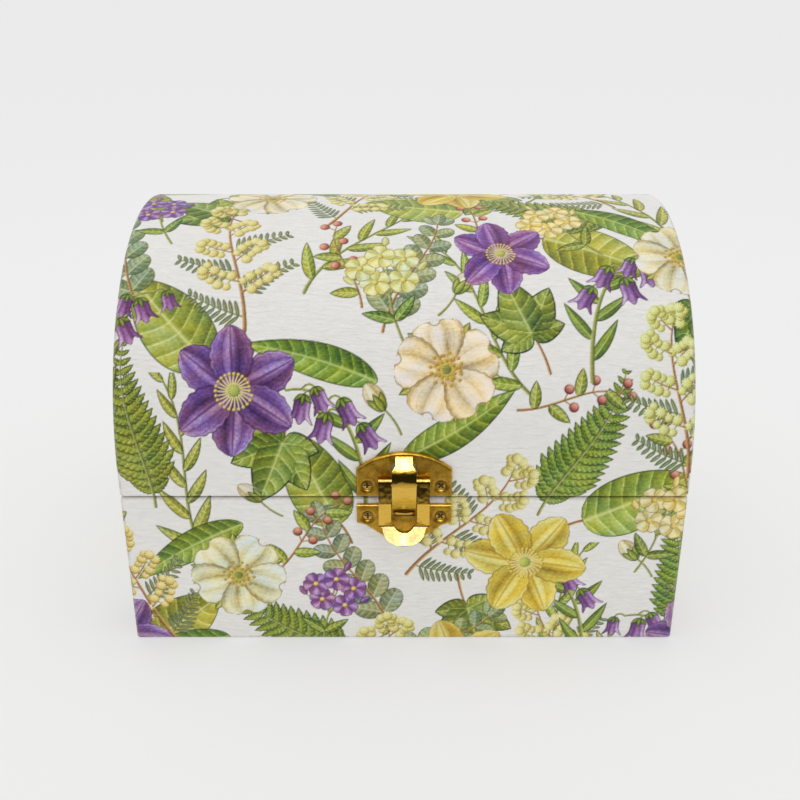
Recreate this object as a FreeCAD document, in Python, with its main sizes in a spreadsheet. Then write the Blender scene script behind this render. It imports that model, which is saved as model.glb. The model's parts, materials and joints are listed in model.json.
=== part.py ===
import FreeCAD, Part
import Sketcher
import math
import os
from FreeCAD import Placement, Rotation, Vector

# Storage chest: a straight-walled base and a half-barrel lid, covered in paper, with a hasp latch.
# Millimetres. The origin is the middle of the underside, +Z is up and the front faces -Y.

SIZES = {
    # Covered box
    "width": 220.0,
    "depth": 178.0,
    "base_height": 65.0,
    "seam_gap": 0.4,
    "rim_height": 8.0,
    "corner_radius": 2.0,
    "rim_radius": 1.2,
    # Covering paper
    "paper": 0.5,
    "glue": 0.1,
    "turn_in": 10.0,
    "lid_turn_in": 6.0,
    "cover_lift": 0.2,
    "sheet_inset": 3.0,
    # Boards
    "wall": 6.0,
    "floor_board": 5.0,
    "shell": 3.0,
    "end_board": 6.0,
    "rail_board": 5.0,
    # Hinges
    "hinge_length": 25.0,
    "hinge_spacing": 120.0,
    "leaf_height": 11.0,
    "leaf_metal": 1.0,
    "knuckle_radius": 1.9,
    "knuckle_gap": 0.3,
    "hinge_pin_radius": 0.9,
    "hinge_pin_head": 0.6,
    "pin_clearance": 0.05,
    "hinge_screw_spread": 14.0,
    "hinge_screw_reach": 5.6,
    # Screws
    "screw_head_radius": 2.3,
    "screw_head_height": 1.2,
    "screw_shank_radius": 1.1,
    "screw_length": 7.0,
    "screw_tip": 1.5,
    "screw_point_radius": 0.3,
    "screw_clearance": 0.05,
    "recess_width": 0.7,
    "recess_length": 2.8,
    "recess_depth": 0.7,
    # Latch plates
    "plate_width": 36.6,
    "plate_depth": 1.7,
    "plate_metal": 0.8,
    "plate_edge_radius": 0.9,
    "plate_back": 1.5,
    "plate_screw_span": 28.2,
    "boss_radius": 2.9,
    "dish_radius": 3.2,
    "dish_depth": 0.45,
    "hasp_plate_lift": 1.1,
    "hasp_plate_side": 11.5,
    "hasp_plate_arch": 6.9,
    "hasp_screw_rise": 4.6,
    "catch_plate_drop": 2.2,
    "catch_plate_side": 7.9,
    "catch_plate_height": 15.0,
    "catch_shoulder_width": 29.4,
    "catch_shoulder_drop": 9.0,
    "catch_foot_width": 13.0,
    "catch_screw_drop": 5.0,
    # Strap of the upper plate. Bent sheet is measured at the middle of its thickness, with each
    # place given out from the front face and up from the seam.
    "strap_width": 9.3,
    "strap_slot_gap": 0.3,
    "strap_metal": 0.9,
    "strap_root_rise": 18.3,
    "strap_neck_width": 6.4,
    "strap_neck_rise": 16.0,
    "strap_shoulder_rise": 14.4,
    "strap_crown_out": 8.6,
    "strap_crown_rise": 11.6,
    "strap_crown_radius": 7.0,
    "strap_tail_out": 2.6,
    "strap_tail_rise": -2.8,
    # Hasp, measured the same way
    "hasp_width": 19.5,
    "hasp_metal": 0.9,
    "hasp_bend": 1.2,
    "roll_radius": 1.7,
    "pivot_out": 3.8,
    "pivot_rise": 8.6,
    "knee_out": 6.0,
    "knee_rise": 0.6,
    "lip_root_out": 3.8,
    "lip_root_rise": -10.2,
    "lip_end_out": 10.2,
    "lip_end_rise": -15.2,
    "lip_width": 16.8,
    "lip_shoulder_rise": -10.5,
    "rail_end_rise": -10.1,
    "window_width": 9.9,
    "window_side_rise": -8.4,
    "window_foot_rise": -11.9,
    # Tongue of the lower plate
    "tongue_width": 8.2,
    "tongue_out": 3.1,
    "tongue_bow": 0.9,
    "tongue_metal": 0.8,
    "tongue_drop": 2.6,
}

# Lengths that follow from the sizes above, written as formulas of the sheet
SKIN = "(Sizes.paper + Sizes.glue)"
FRONT = "(-Sizes.depth / 2)"
BACK = "(Sizes.depth / 2)"
BOARD_HALF_WIDTH = f"(Sizes.width / 2 - {SKIN})"
BOARD_HALF_DEPTH = f"(Sizes.depth / 2 - {SKIN})"
BASE_FOOT = "Sizes.paper"
BASE_RIM = f"(Sizes.base_height - {SKIN})"
SEAM = "(Sizes.base_height + Sizes.seam_gap / 2)"
LID_FOOT = "(Sizes.base_height + Sizes.seam_gap)"
LID_RIM = f"({LID_FOOT} + {SKIN})"
SPRING_LINE = f"({LID_FOOT} + Sizes.rim_height)"
BASE_MOUTH_HALF_WIDTH = f"({BOARD_HALF_WIDTH} - Sizes.wall)"
BASE_MOUTH_HALF_DEPTH = f"({BOARD_HALF_DEPTH} - Sizes.wall)"
LID_MOUTH_HALF_WIDTH = f"({BOARD_HALF_WIDTH} - Sizes.end_board)"
LID_MOUTH_HALF_DEPTH = f"({BOARD_HALF_DEPTH} - Sizes.shell - Sizes.rail_board)"
HINGE_AXIS_DEPTH = f"({BACK} + Sizes.knuckle_radius)"
KNUCKLE_LENGTH = "((Sizes.hinge_length - 2 * Sizes.knuckle_gap) / 3)"
PLATE_FACE = f"({FRONT} - Sizes.plate_depth)"
CATCH_TOP = "(Sizes.base_height - Sizes.catch_plate_drop)"
HASP_PLATE_FOOT = f"({LID_FOOT} + Sizes.hasp_plate_lift)"
HASP_PLATE_TOP = f"({HASP_PLATE_FOOT} + Sizes.hasp_plate_side + Sizes.hasp_plate_arch)"

# How far an edge may lie from a plane and still count as lying in it
EDGE_TOLERANCE = 1e-4

INTO_BACK = Rotation(Vector(1, 0, 0), -90)
INTO_FRONT = Rotation(Vector(1, 0, 0), 90)
ALONG_X = Rotation(Vector(0, 1, 0), 90)

doc = FreeCAD.newDocument("storage_chest")
sheet = doc.addObject("Spreadsheet::Sheet", "Sizes")
for row, (alias, size) in enumerate(SIZES.items(), start=1):
    sheet.set(f"A{row}", alias)
    sheet.set(f"B{row}", str(size))
    sheet.setAlias(f"B{row}", alias)
doc.recompute()

probe = doc.addObject("App::FeaturePython", "Probe")
nodes = []


def value(formula):
    """The number that a formula of the sheet stands for now."""
    return float(probe.evalExpression(formula))


def bind(thing, formulas):
    for prop, formula in formulas.items():
        thing.setExpression(prop, formula)
    return thing


def node(thing, name):
    """Names a finished piece, which is then written to its own file."""
    thing.Label = name
    nodes.append(thing)
    return thing


# Sketches

def origin_plane(body, role):
    return next(f for f in body.Origin.OriginFeatures if f.Role == role)


def sketch_on(body, name, role, offset="0"):
    """A sketch on one of the body's own planes, moved along the plane's normal by a formula."""
    sketch = body.newObject("Sketcher::SketchObject", name)
    sketch.AttachmentSupport = [(origin_plane(body, role), "")]
    sketch.MapMode = "FlatFace"
    sketch.setExpression("AttachmentOffset.Base.z", offset)
    return sketch


def pin_point(sketch, geometry, end, place):
    """Holds a point of the sketch at a place given by two formulas."""
    for kind, formula in zip(("DistanceX", "DistanceY"), place):
        index = sketch.addConstraint(Sketcher.Constraint(kind, -1, 1, geometry, end, value(formula)))
        sketch.setExpression(f"Constraints[{index}]", formula)


def run_order(sketch, edge, start):
    """The numbers of an edge's ends in the order it is drawn, because an arc is kept anticlockwise."""
    gaps = [sketch.getPoint(edge, end).distanceToPoint(start) for end in (1, 2)]
    return (1, 2) if gaps[0] < gaps[1] else (2, 1)


def flat(place):
    return Vector(value(place[0]), value(place[1]), 0)


def draw(sketch, corners):
    """A closed outline from corner to corner. A corner with a third entry starts an arc through it."""
    ends = []
    for start, finish in zip(corners, corners[1:] + corners[:1]):
        if len(start) == 3:
            edge = sketch.addGeometry(Part.Arc(flat(start), flat(start[2]), flat(finish)))
            mark = sketch.addGeometry(Part.Point(flat(start[2])), True)
            pin_point(sketch, mark, 1, start[2])
            sketch.addConstraint(Sketcher.Constraint("PointOnObject", mark, 1, edge))
        else:
            edge = sketch.addGeometry(Part.LineSegment(flat(start), flat(finish)))
        ends.append((edge, *run_order(sketch, edge, flat(start))))
    for run, following, corner in zip(ends, ends[1:] + ends[:1], corners):
        edge, first, last = run
        pin_point(sketch, edge, first, corner)
        sketch.addConstraint(Sketcher.Constraint("Coincident", edge, last, following[0], following[1]))
    return sketch


def rectangle(half_width, half_depth):
    return [
        (f"-{half_width}", f"-{half_depth}"),
        (half_width, f"-{half_depth}"),
        (half_width, half_depth),
        (f"-{half_width}", half_depth),
    ]


def rounded_rectangle(half_width, half_depth, radius):
    """A rectangle with quarter-round corners, each an arc through its own middle."""
    middle = f"({radius} * (1 - sqrt(0.5)))"
    corners = []
    for x, y, first in (("-", "-", "y"), ("", "-", "x"), ("", "", "y"), ("-", "", "x")):
        on_side = (f"{x}{half_width}", f"{y}({half_depth} - {radius})")
        on_end = (f"{x}({half_width} - {radius})", f"{y}{half_depth}")
        start, finish = (on_side, on_end) if first == "y" else (on_end, on_side)
        corners.append((*start, (f"{x}({half_width} - {middle})", f"{y}({half_depth} - {middle})")))
        corners.append(finish)
    return corners


def barrel(half_depth, foot):
    """The lid's end outline: a straight rim and a half round, with its centre on the spring line."""
    crown = ("0", f"({SPRING_LINE} + {half_depth})")
    return [
        (half_depth, foot),
        (half_depth, SPRING_LINE, crown),
        (f"-{half_depth}", SPRING_LINE),
        (f"-{half_depth}", foot),
    ]


# Solid features

def new_body(name):
    return doc.addObject("PartDesign::Body", name)


def pad(body, sketch, length, both_ways=False, reverse=False):
    feature = body.newObject("PartDesign::Pad", f"{sketch.Name}_pad")
    feature.Profile = sketch
    feature.setExpression("Length", length)
    feature.Midplane = both_ways
    feature.Reversed = reverse
    doc.recompute()
    return feature


def pocket(body, sketch, length, both_ways=False, reverse=False):
    """Cuts a sketch out of the body, and stops if the cut removed nothing."""
    before = body.Shape.Volume
    feature = body.newObject("PartDesign::Pocket", f"{sketch.Name}_pocket")
    feature.Profile = sketch
    feature.setExpression("Length", length)
    feature.Midplane = both_ways
    feature.Reversed = reverse
    doc.recompute()
    if not body.Shape.Volume < before:
        raise RuntimeError(f"{feature.Name} cut nothing")
    return feature


def fillet(body, radius, wanted):
    """Rounds the edges of the body's last feature for which wanted(edge) holds."""
    base = body.Tip
    names = [f"Edge{k}" for k, edge in enumerate(base.Shape.Edges, start=1) if wanted(edge)]
    feature = body.newObject("PartDesign::Fillet", f"{body.Name}_fillet")
    feature.Base = (base, names)
    feature.setExpression("Radius", radius)
    doc.recompute()
    return feature


def lies_at(edge, axis, place):
    """True for an edge that lies wholly in the plane where this axis has this place."""
    box = edge.BoundBox
    low, high = {"x": (box.XMin, box.XMax), "y": (box.YMin, box.YMax), "z": (box.ZMin, box.ZMax)}[axis]
    return max(abs(low - place), abs(high - place)) < EDGE_TOLERANCE


def barrel_edge(half_width, foot):
    """A test for the edges round the lid's two end faces, apart from those along the foot."""
    ends = [sign * value(half_width) for sign in (-1, 1)]
    level = value(foot)
    return lambda edge: any(lies_at(edge, "x", x) for x in ends) and not lies_at(edge, "z", level)


def box(name, sizes, corner):
    piece = doc.addObject("Part::Box", name)
    return bind(piece, dict(zip(
        ("Length", "Width", "Height", "Placement.Base.x", "Placement.Base.y", "Placement.Base.z"),
        (*sizes, *corner),
    )))


def cylinder(name, radius, height, turn, start):
    piece = doc.addObject("Part::Cylinder", name)
    piece.Placement = Placement(Vector(), turn)
    return bind(piece, dict(zip(
        ("Radius", "Height", "Placement.Base.x", "Placement.Base.y", "Placement.Base.z"),
        (radius, height, *start),
    )))


def cone(name, radius, end_radius, height, turn, start):
    piece = doc.addObject("Part::Cone", name)
    piece.Placement = Placement(Vector(), turn)
    return bind(piece, dict(zip(
        ("Radius1", "Radius2", "Height", "Placement.Base.x", "Placement.Base.y", "Placement.Base.z"),
        (radius, end_radius, height, *start),
    )))


def fuse(name, pieces):
    joined = doc.addObject("Part::MultiFuse", name)
    joined.Shapes = pieces
    return joined


def cut(name, base, tool):
    result = doc.addObject("Part::Cut", name)
    result.Base = base
    result.Tool = tool
    return result


def common(name, base, tool):
    result = doc.addObject("Part::Common", name)
    result.Base = base
    result.Tool = tool
    return result


def group(name, pieces):
    gathered = doc.addObject("Part::Compound", name)
    gathered.Links = pieces
    return gathered


def extrude(name, source, length, both_ways=True):
    solid = doc.addObject("Part::Extrusion", name)
    solid.Base = source
    solid.DirMode = "Normal"
    solid.Solid = True
    solid.Symmetric = both_ways
    solid.setExpression("LengthFwd", length)
    return solid


def side_sketch(name):
    """A free sketch seen from the side: its x runs towards the back and its y runs up."""
    sketch = doc.addObject("Sketcher::SketchObject", name)
    sketch.Placement = Placement(Vector(), Rotation(Vector(1, 1, 1), 120))
    return sketch


def front_sketch(name):
    """A free sketch seen from the front: its x runs to the right and its y runs up."""
    sketch = doc.addObject("Sketcher::SketchObject", name)
    sketch.Placement = Placement(Vector(), INTO_FRONT)
    return sketch


# Screws and the room they take

def screw(name, place, turn, inward, spare="0"):
    """A countersunk screw with its head's face at place. Spare makes it thicker, for its hole."""
    x, y, z = place
    head = f"(Sizes.screw_head_radius + {spare})"
    shank = f"(Sizes.screw_shank_radius + {spare})"
    point = f"(Sizes.screw_point_radius + {spare})"
    neck = f"({y} + {inward} * Sizes.screw_head_height)"
    shank_length = "(Sizes.screw_length - Sizes.screw_head_height - Sizes.screw_tip)"
    tip = f"({y} + {inward} * (Sizes.screw_length - Sizes.screw_tip))"
    return fuse(name, [
        cone(f"{name}_head", head, shank, "Sizes.screw_head_height", turn, place),
        cylinder(f"{name}_shank", shank, shank_length, turn, (x, neck, z)),
        cone(f"{name}_tip", shank, point, "Sizes.screw_tip", turn, (x, tip, z)),
    ])


def cross_recess(name, place, inward):
    """Two crossed slots in a screw's face."""
    x, y, z = place
    start = y if inward > 0 else f"({y} - Sizes.recess_depth)"
    wide = "Sizes.recess_length"
    thin = "Sizes.recess_width"
    slots = [
        box(f"{name}_{k}", (across, "Sizes.recess_depth", up),
            (f"{x} - {across} / 2", start, f"{z} - {up} / 2"))
        for k, (across, up) in enumerate(((wide, thin), (thin, wide)))
    ]
    return fuse(name, slots)


def screw_set(name, places, turn, inward):
    """A set of equal screws in one node, and the set of holes that they need."""
    screws = []
    holes = []
    for k, place in enumerate(places):
        blank = screw(f"{name}_blank_{k}", place, turn, inward)
        screws.append(cut(f"{name}_screw_{k}", blank, cross_recess(f"{name}_recess_{k}", place, inward)))
        holes.append(screw(f"{name}_hole_{k}", place, turn, inward, "Sizes.screw_clearance"))
    node(group(name, screws), name)
    return fuse(f"{name}_holes", holes)


def drilled(name, blank, holes):
    return node(cut(f"{name}_drilled", blank, holes), name)


HASP_SCREW_Z = f"({HASP_PLATE_FOOT} + Sizes.hasp_screw_rise)"
CATCH_SCREW_Z = f"({CATCH_TOP} - Sizes.catch_screw_drop)"
LEAF_FACE = f"({BACK} + Sizes.leaf_metal)"
SIDES = {"left": "-1", "right": "1"}
plate_screw_x = [f"({sign} * Sizes.plate_screw_span / 2)" for sign in SIDES.values()]
hinge_screw_x = [
    f"({sign} * Sizes.hinge_spacing / 2 + {end} * Sizes.hinge_screw_spread / 2)"
    for sign in SIDES.values()
    for end in SIDES.values()
]
DISH_FOOT = f"({PLATE_FACE} + Sizes.dish_depth)"
hasp_plate_holes = screw_set(
    "hasp_plate_screws", [(x, DISH_FOOT, HASP_SCREW_Z) for x in plate_screw_x], INTO_BACK, 1)
catch_plate_holes = screw_set(
    "catch_plate_screws", [(x, DISH_FOOT, CATCH_SCREW_Z) for x in plate_screw_x], INTO_BACK, 1)
hinge_lid_holes = screw_set(
    "hinge_lid_screws", [(x, LEAF_FACE, f"({SEAM} + Sizes.hinge_screw_reach)") for x in hinge_screw_x],
    INTO_FRONT, -1)
hinge_base_holes = screw_set(
    "hinge_base_screws", [(x, LEAF_FACE, f"({SEAM} - Sizes.hinge_screw_reach)") for x in hinge_screw_x],
    INTO_FRONT, -1)
lid_holes = fuse("lid_holes", [hasp_plate_holes, hinge_lid_holes])
base_holes = fuse("base_holes", [catch_plate_holes, hinge_base_holes])


# Base boards: the long walls run the full width, and the ends and the floor fit between them

def long_wall(name, y):
    """A long wall with its outer corners rounded to the covering paper's inner corners."""
    body = new_body(f"{name}_body")
    sketch = sketch_on(body, f"{name}_outline", "XY_Plane", BASE_FOOT)
    low, high = y
    draw(sketch, [
        (f"-{BOARD_HALF_WIDTH}", low),
        (BOARD_HALF_WIDTH, low),
        (BOARD_HALF_WIDTH, high),
        (f"-{BOARD_HALF_WIDTH}", high),
    ])
    pad(body, sketch, f"{BASE_RIM} - {BASE_FOOT}")
    outer = max((value(low), value(high)), key=abs)
    fillet(body, f"Sizes.corner_radius - {SKIN}",
           lambda edge: lies_at(edge, "y", outer) and edge.BoundBox.ZLength > edge.BoundBox.XLength)
    return body


drilled("base_front_wall",
        long_wall("base_front_wall", (f"-{BOARD_HALF_DEPTH}", f"-{BASE_MOUTH_HALF_DEPTH}")),
        catch_plate_holes)
drilled("base_back_wall",
        long_wall("base_back_wall", (BASE_MOUTH_HALF_DEPTH, BOARD_HALF_DEPTH)),
        hinge_base_holes)
for side in SIDES:
    edge_x = f"-{BOARD_HALF_WIDTH}" if side == "left" else BASE_MOUTH_HALF_WIDTH
    node(box(f"base_{side}_end_board",
             ("Sizes.wall", f"2 * {BASE_MOUTH_HALF_DEPTH}", f"{BASE_RIM} - {BASE_FOOT}"),
             (edge_x, f"-{BASE_MOUTH_HALF_DEPTH}", BASE_FOOT)),
         f"base_{side}_end")
node(box("base_floor_board",
         (f"2 * {BASE_MOUTH_HALF_WIDTH}", f"2 * {BASE_MOUTH_HALF_DEPTH}", "Sizes.floor_board"),
         (f"-{BASE_MOUTH_HALF_WIDTH}", f"-{BASE_MOUTH_HALF_DEPTH}", BASE_FOOT)),
     "base_floor")
node(box("bottom_sheet_blank",
         ("Sizes.width - 2 * Sizes.sheet_inset", "Sizes.depth - 2 * Sizes.sheet_inset", "Sizes.paper"),
         ("Sizes.sheet_inset - Sizes.width / 2", "Sizes.sheet_inset - Sizes.depth / 2", "0")),
     "bottom_sheet")


# Covering paper: an outer skin that folds over the rim and turns in behind it

def turned_in_edge(body, name, half_width, half_depth, level, height, reverse):
    """A strip of paper on the inner faces of the rim, from the fold at level inwards."""
    ring = sketch_on(body, f"{name}_turn_in", "XY_Plane", level)
    draw(ring, rectangle(f"({half_width} - Sizes.glue)", f"({half_depth} - Sizes.glue)"))
    draw(ring, rectangle(f"({half_width} - {SKIN})", f"({half_depth} - {SKIN})"))
    pad(body, ring, f"{height} + {SKIN}", reverse=reverse)


def mouth(body, name, half_width, half_depth, level, depth):
    """The opening through the folded rim, as wide as the room between the turned-in strips."""
    sketch = sketch_on(body, f"{name}_mouth", "XY_Plane", level)
    draw(sketch, rectangle(f"({half_width} - {SKIN})", f"({half_depth} - {SKIN})"))
    pocket(body, sketch, depth)


def base_cover():
    body = new_body("base_cover_body")
    outer = sketch_on(body, "base_cover_outline", "XY_Plane", "Sizes.cover_lift")
    draw(outer, rounded_rectangle("(Sizes.width / 2)", "(Sizes.depth / 2)", "Sizes.corner_radius"))
    pad(body, outer, "Sizes.base_height - Sizes.cover_lift")
    fillet(body, "Sizes.rim_radius", lambda edge: lies_at(edge, "z", value("Sizes.base_height")))
    room = sketch_on(body, "base_cover_room", "XY_Plane", "Sizes.cover_lift")
    draw(room, rounded_rectangle("(Sizes.width / 2 - Sizes.paper)", "(Sizes.depth / 2 - Sizes.paper)",
                                 "(Sizes.corner_radius - Sizes.paper)"))
    pocket(body, room, "Sizes.base_height - Sizes.cover_lift - Sizes.paper", reverse=True)
    mouth(body, "base_cover", BASE_MOUTH_HALF_WIDTH, BASE_MOUTH_HALF_DEPTH,
          "Sizes.base_height", "2 * Sizes.paper")
    turned_in_edge(body, "base_cover", BASE_MOUTH_HALF_WIDTH, BASE_MOUTH_HALF_DEPTH,
                   "Sizes.base_height", "Sizes.turn_in", reverse=True)
    return body


def lid_cover():
    body = new_body("lid_cover_body")
    outer = sketch_on(body, "lid_cover_outline", "YZ_Plane")
    draw(outer, barrel("(Sizes.depth / 2)", LID_FOOT))
    pad(body, outer, "Sizes.width", both_ways=True)
    room = sketch_on(body, "lid_cover_room", "YZ_Plane")
    room_foot = f"({LID_FOOT} + Sizes.paper)"
    draw(room, barrel("(Sizes.depth / 2 - Sizes.paper)", room_foot))
    pocket(body, room, "Sizes.width - 2 * Sizes.paper", both_ways=True)
    fillet(body, "Sizes.corner_radius - Sizes.paper",
           barrel_edge("Sizes.width / 2 - Sizes.paper", room_foot))
    fillet(body, "Sizes.corner_radius", barrel_edge("Sizes.width / 2", LID_FOOT))
    fillet(body, "Sizes.rim_radius", lambda edge: lies_at(edge, "z", value(LID_FOOT)))
    mouth(body, "lid_cover", LID_MOUTH_HALF_WIDTH, LID_MOUTH_HALF_DEPTH,
          f"({LID_FOOT} + 2 * Sizes.paper)", "4 * Sizes.paper")
    turned_in_edge(body, "lid_cover", LID_MOUTH_HALF_WIDTH, LID_MOUTH_HALF_DEPTH,
                   LID_FOOT, "Sizes.lid_turn_in", reverse=False)
    return body


drilled("base_paper_cover", base_cover(), base_holes)
drilled("lid_paper_cover", lid_cover(), lid_holes)


# Lid boards: a bent shell over two half-round ends, with a rail behind each straight rim

def lid_shell():
    body = new_body("lid_shell_body")
    sketch = sketch_on(body, "lid_shell_outline", "YZ_Plane")
    outer = BOARD_HALF_DEPTH
    inner = f"({BOARD_HALF_DEPTH} - Sizes.shell)"
    draw(sketch, [
        (outer, LID_RIM),
        (outer, SPRING_LINE, ("0", f"({SPRING_LINE} + {outer})")),
        (f"-{outer}", SPRING_LINE),
        (f"-{outer}", LID_RIM),
        (f"-{inner}", LID_RIM),
        (f"-{inner}", SPRING_LINE, ("0", f"({SPRING_LINE} + {inner})")),
        (inner, SPRING_LINE),
        (inner, LID_RIM),
    ])
    pad(body, sketch, f"2 * {BOARD_HALF_WIDTH}", both_ways=True)
    ends = barrel_edge(BOARD_HALF_WIDTH, LID_RIM)
    clear = value(f"{BOARD_HALF_DEPTH} - Sizes.shell / 2")
    top = value(SPRING_LINE)
    fillet(body, f"Sizes.corner_radius - {SKIN}",
           lambda edge: ends(edge) and max(abs(edge.BoundBox.YMin), edge.BoundBox.ZMax - top) > clear)
    return body


def lid_end(side):
    body = new_body(f"lid_{side}_end_body")
    start = f"-{BOARD_HALF_WIDTH}" if side == "left" else LID_MOUTH_HALF_WIDTH
    sketch = sketch_on(body, f"lid_{side}_end_outline", "YZ_Plane", start)
    draw(sketch, barrel(f"({BOARD_HALF_DEPTH} - Sizes.shell - Sizes.glue)", LID_RIM))
    pad(body, sketch, "Sizes.end_board")
    return body


drilled("lid_shell", lid_shell(), lid_holes)
for side in SIDES:
    node(lid_end(side), f"lid_{side}_end")
rail_size = (f"2 * {LID_MOUTH_HALF_WIDTH}", "Sizes.rail_board", f"{SPRING_LINE} - {LID_RIM}")
drilled("lid_front_rail",
        box("lid_front_rail_board", rail_size,
            (f"-{LID_MOUTH_HALF_WIDTH}", f"-{LID_MOUTH_HALF_DEPTH} - Sizes.rail_board", LID_RIM)),
        hasp_plate_holes)
drilled("lid_back_rail",
        box("lid_back_rail_board", rail_size,
            (f"-{LID_MOUTH_HALF_WIDTH}", LID_MOUTH_HALF_DEPTH, LID_RIM)),
        hinge_lid_holes)


# Hinges: two flat leaves whose curled knuckles share one pin at the seam

KNUCKLES = {0, 1, 2}


def leaf(name, side, up, knuckles, holes):
    """A hinge leaf that runs up or down from the axis, with the knuckles that it owns."""
    centre = f"({SIDES[side]} * Sizes.hinge_spacing / 2)"
    start = f"({centre} - Sizes.hinge_length / 2)"
    step = f"({KNUCKLE_LENGTH} + Sizes.knuckle_gap)"
    plate = box(f"{name}_plate", ("Sizes.hinge_length", "Sizes.leaf_metal", "Sizes.leaf_height"),
                (start, BACK, SEAM if up else f"{SEAM} - Sizes.leaf_height"))
    curls = [
        cylinder(f"{name}_curl_{k}", "Sizes.knuckle_radius", KNUCKLE_LENGTH, ALONG_X,
                 (f"{start} + {k} * {step}", HINGE_AXIS_DEPTH, SEAM))
        for k in knuckles
    ]
    margin = "Sizes.knuckle_gap"
    reach = f"(Sizes.knuckle_radius + {margin})"
    gaps = [
        box(f"{name}_gap_{k}",
            (f"{KNUCKLE_LENGTH} + 2 * {margin}", f"2 * {reach}", f"2 * {reach}"),
            (f"{start} + {k} * {step} - {margin}", f"{BACK} - {margin}", f"{SEAM} - {reach}"))
        for k in sorted(KNUCKLES - set(knuckles))
    ]
    bore = cylinder(f"{name}_bore", "Sizes.hinge_pin_radius + Sizes.pin_clearance", "Sizes.hinge_length",
                    ALONG_X, (start, HINGE_AXIS_DEPTH, SEAM))
    tools = fuse(f"{name}_tools", [*gaps, bore, holes])
    return node(cut(name, fuse(f"{name}_blank", [plate, *curls]), tools), name)


def hinge_pin(name, side):
    """A straight pin with a low head at each end of the knuckles."""
    start = f"({SIDES[side]} * Sizes.hinge_spacing / 2 - Sizes.hinge_length / 2)"
    shaft = cylinder(f"{name}_shaft", "Sizes.hinge_pin_radius", "Sizes.hinge_length", ALONG_X,
                     (start, HINGE_AXIS_DEPTH, SEAM))
    heads = [
        cylinder(f"{name}_head_{k}", "Sizes.knuckle_radius - Sizes.hinge_pin_head / 2",
                 "Sizes.hinge_pin_head", ALONG_X, (f"{start} + {shift}", HINGE_AXIS_DEPTH, SEAM))
        for k, shift in enumerate(("-Sizes.hinge_pin_head", "Sizes.hinge_length"))
    ]
    return node(fuse(name, [shaft, *heads]), name)


for side in SIDES:
    leaf(f"{side}_hinge_base_leaf", side, False, (0, 2), hinge_base_holes)
    leaf(f"{side}_hinge_lid_leaf", side, True, (1,), hinge_lid_holes)
    hinge_pin(f"{side}_hinge_pin", side)


# Latch plates: stamped pans whose rims stand on the paper

def arch_outline(inset):
    """The upper plate's outline, drawn in by an inset: straight sides under a flat arch."""
    half = f"(Sizes.plate_width / 2 - {inset})"
    foot = f"({HASP_PLATE_FOOT} + {inset})"
    shoulder = f"({HASP_PLATE_FOOT} + Sizes.hasp_plate_side)"
    return [
        (f"-{half}", foot),
        (half, foot),
        (half, shoulder, ("0", f"({HASP_PLATE_TOP} - {inset})")),
        (f"-{half}", shoulder),
    ]


def shield_outline(inset):
    """The lower plate's outline, drawn in by an inset: straight sides that step in to a narrow foot."""
    half = f"(Sizes.plate_width / 2 - {inset})"
    shoulder = f"(Sizes.catch_shoulder_width / 2 - {inset})"
    foot = f"(Sizes.catch_foot_width / 2 - {inset} / 2)"
    heights = [f"({CATCH_TOP} - {drop})" for drop in (
        inset, "Sizes.catch_plate_side", f"(Sizes.catch_shoulder_drop - {inset} / 2)",
        f"(Sizes.catch_plate_height - {inset})")]
    right = list(zip((half, half, shoulder, foot), heights))
    left = [(f"-{x}", z) for x, z in reversed(right)]
    return [*right, *left]


def pan(name, outline, screw_height, back):
    """A plate pressed out to the plate depth, hollow behind apart from a seat round each screw."""
    body = new_body(f"{name}_body")
    plane = f"(-{FRONT} - {back})"
    sketch = sketch_on(body, f"{name}_outline", "XZ_Plane", plane)
    draw(sketch, outline("0"))
    pad(body, sketch, f"Sizes.plate_depth + {back}")
    face = value(PLATE_FACE)
    fillet(body, "Sizes.plate_edge_radius", lambda edge: lies_at(edge, "y", face))
    hollow = sketch_on(body, f"{name}_hollow", "XZ_Plane", plane)
    draw(hollow, outline("Sizes.plate_metal"))
    boss = value("Sizes.boss_radius")
    for x in plate_screw_x:
        seat = hollow.addGeometry(Part.Circle(flat((x, screw_height)), Vector(0, 0, 1), boss))
        pin_point(hollow, seat, 3, (x, screw_height))
        index = hollow.addConstraint(Sketcher.Constraint("Radius", seat, boss))
        hollow.setExpression(f"Constraints[{index}]", "Sizes.boss_radius")
    pocket(body, hollow, f"Sizes.plate_depth + {back} - Sizes.plate_metal", reverse=True)
    return body


def dished(name, blank, screw_height):
    """A plate with a dish pressed round each screw, from the plate's face to the screw's."""
    seat = "(Sizes.screw_head_radius + Sizes.screw_clearance)"
    dishes = [
        cone(f"{name}_dish_{k}", "Sizes.dish_radius", seat, "Sizes.dish_depth", INTO_BACK,
             (x, PLATE_FACE, screw_height))
        for k, x in enumerate(plate_screw_x)
    ]
    return cut(f"{name}_dished", blank, fuse(f"{name}_dishes", dishes))


def sheet_strip(name, path, metal, width):
    """A strip of sheet metal of even thickness, bent along a path seen from the side."""
    strip = doc.addObject("Part::Offset2D", f"{name}_section")
    strip.Source = path
    strip.Fill = True
    strip.setExpression("Value", f"{metal} / 2")
    return extrude(name, strip, width)


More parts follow.
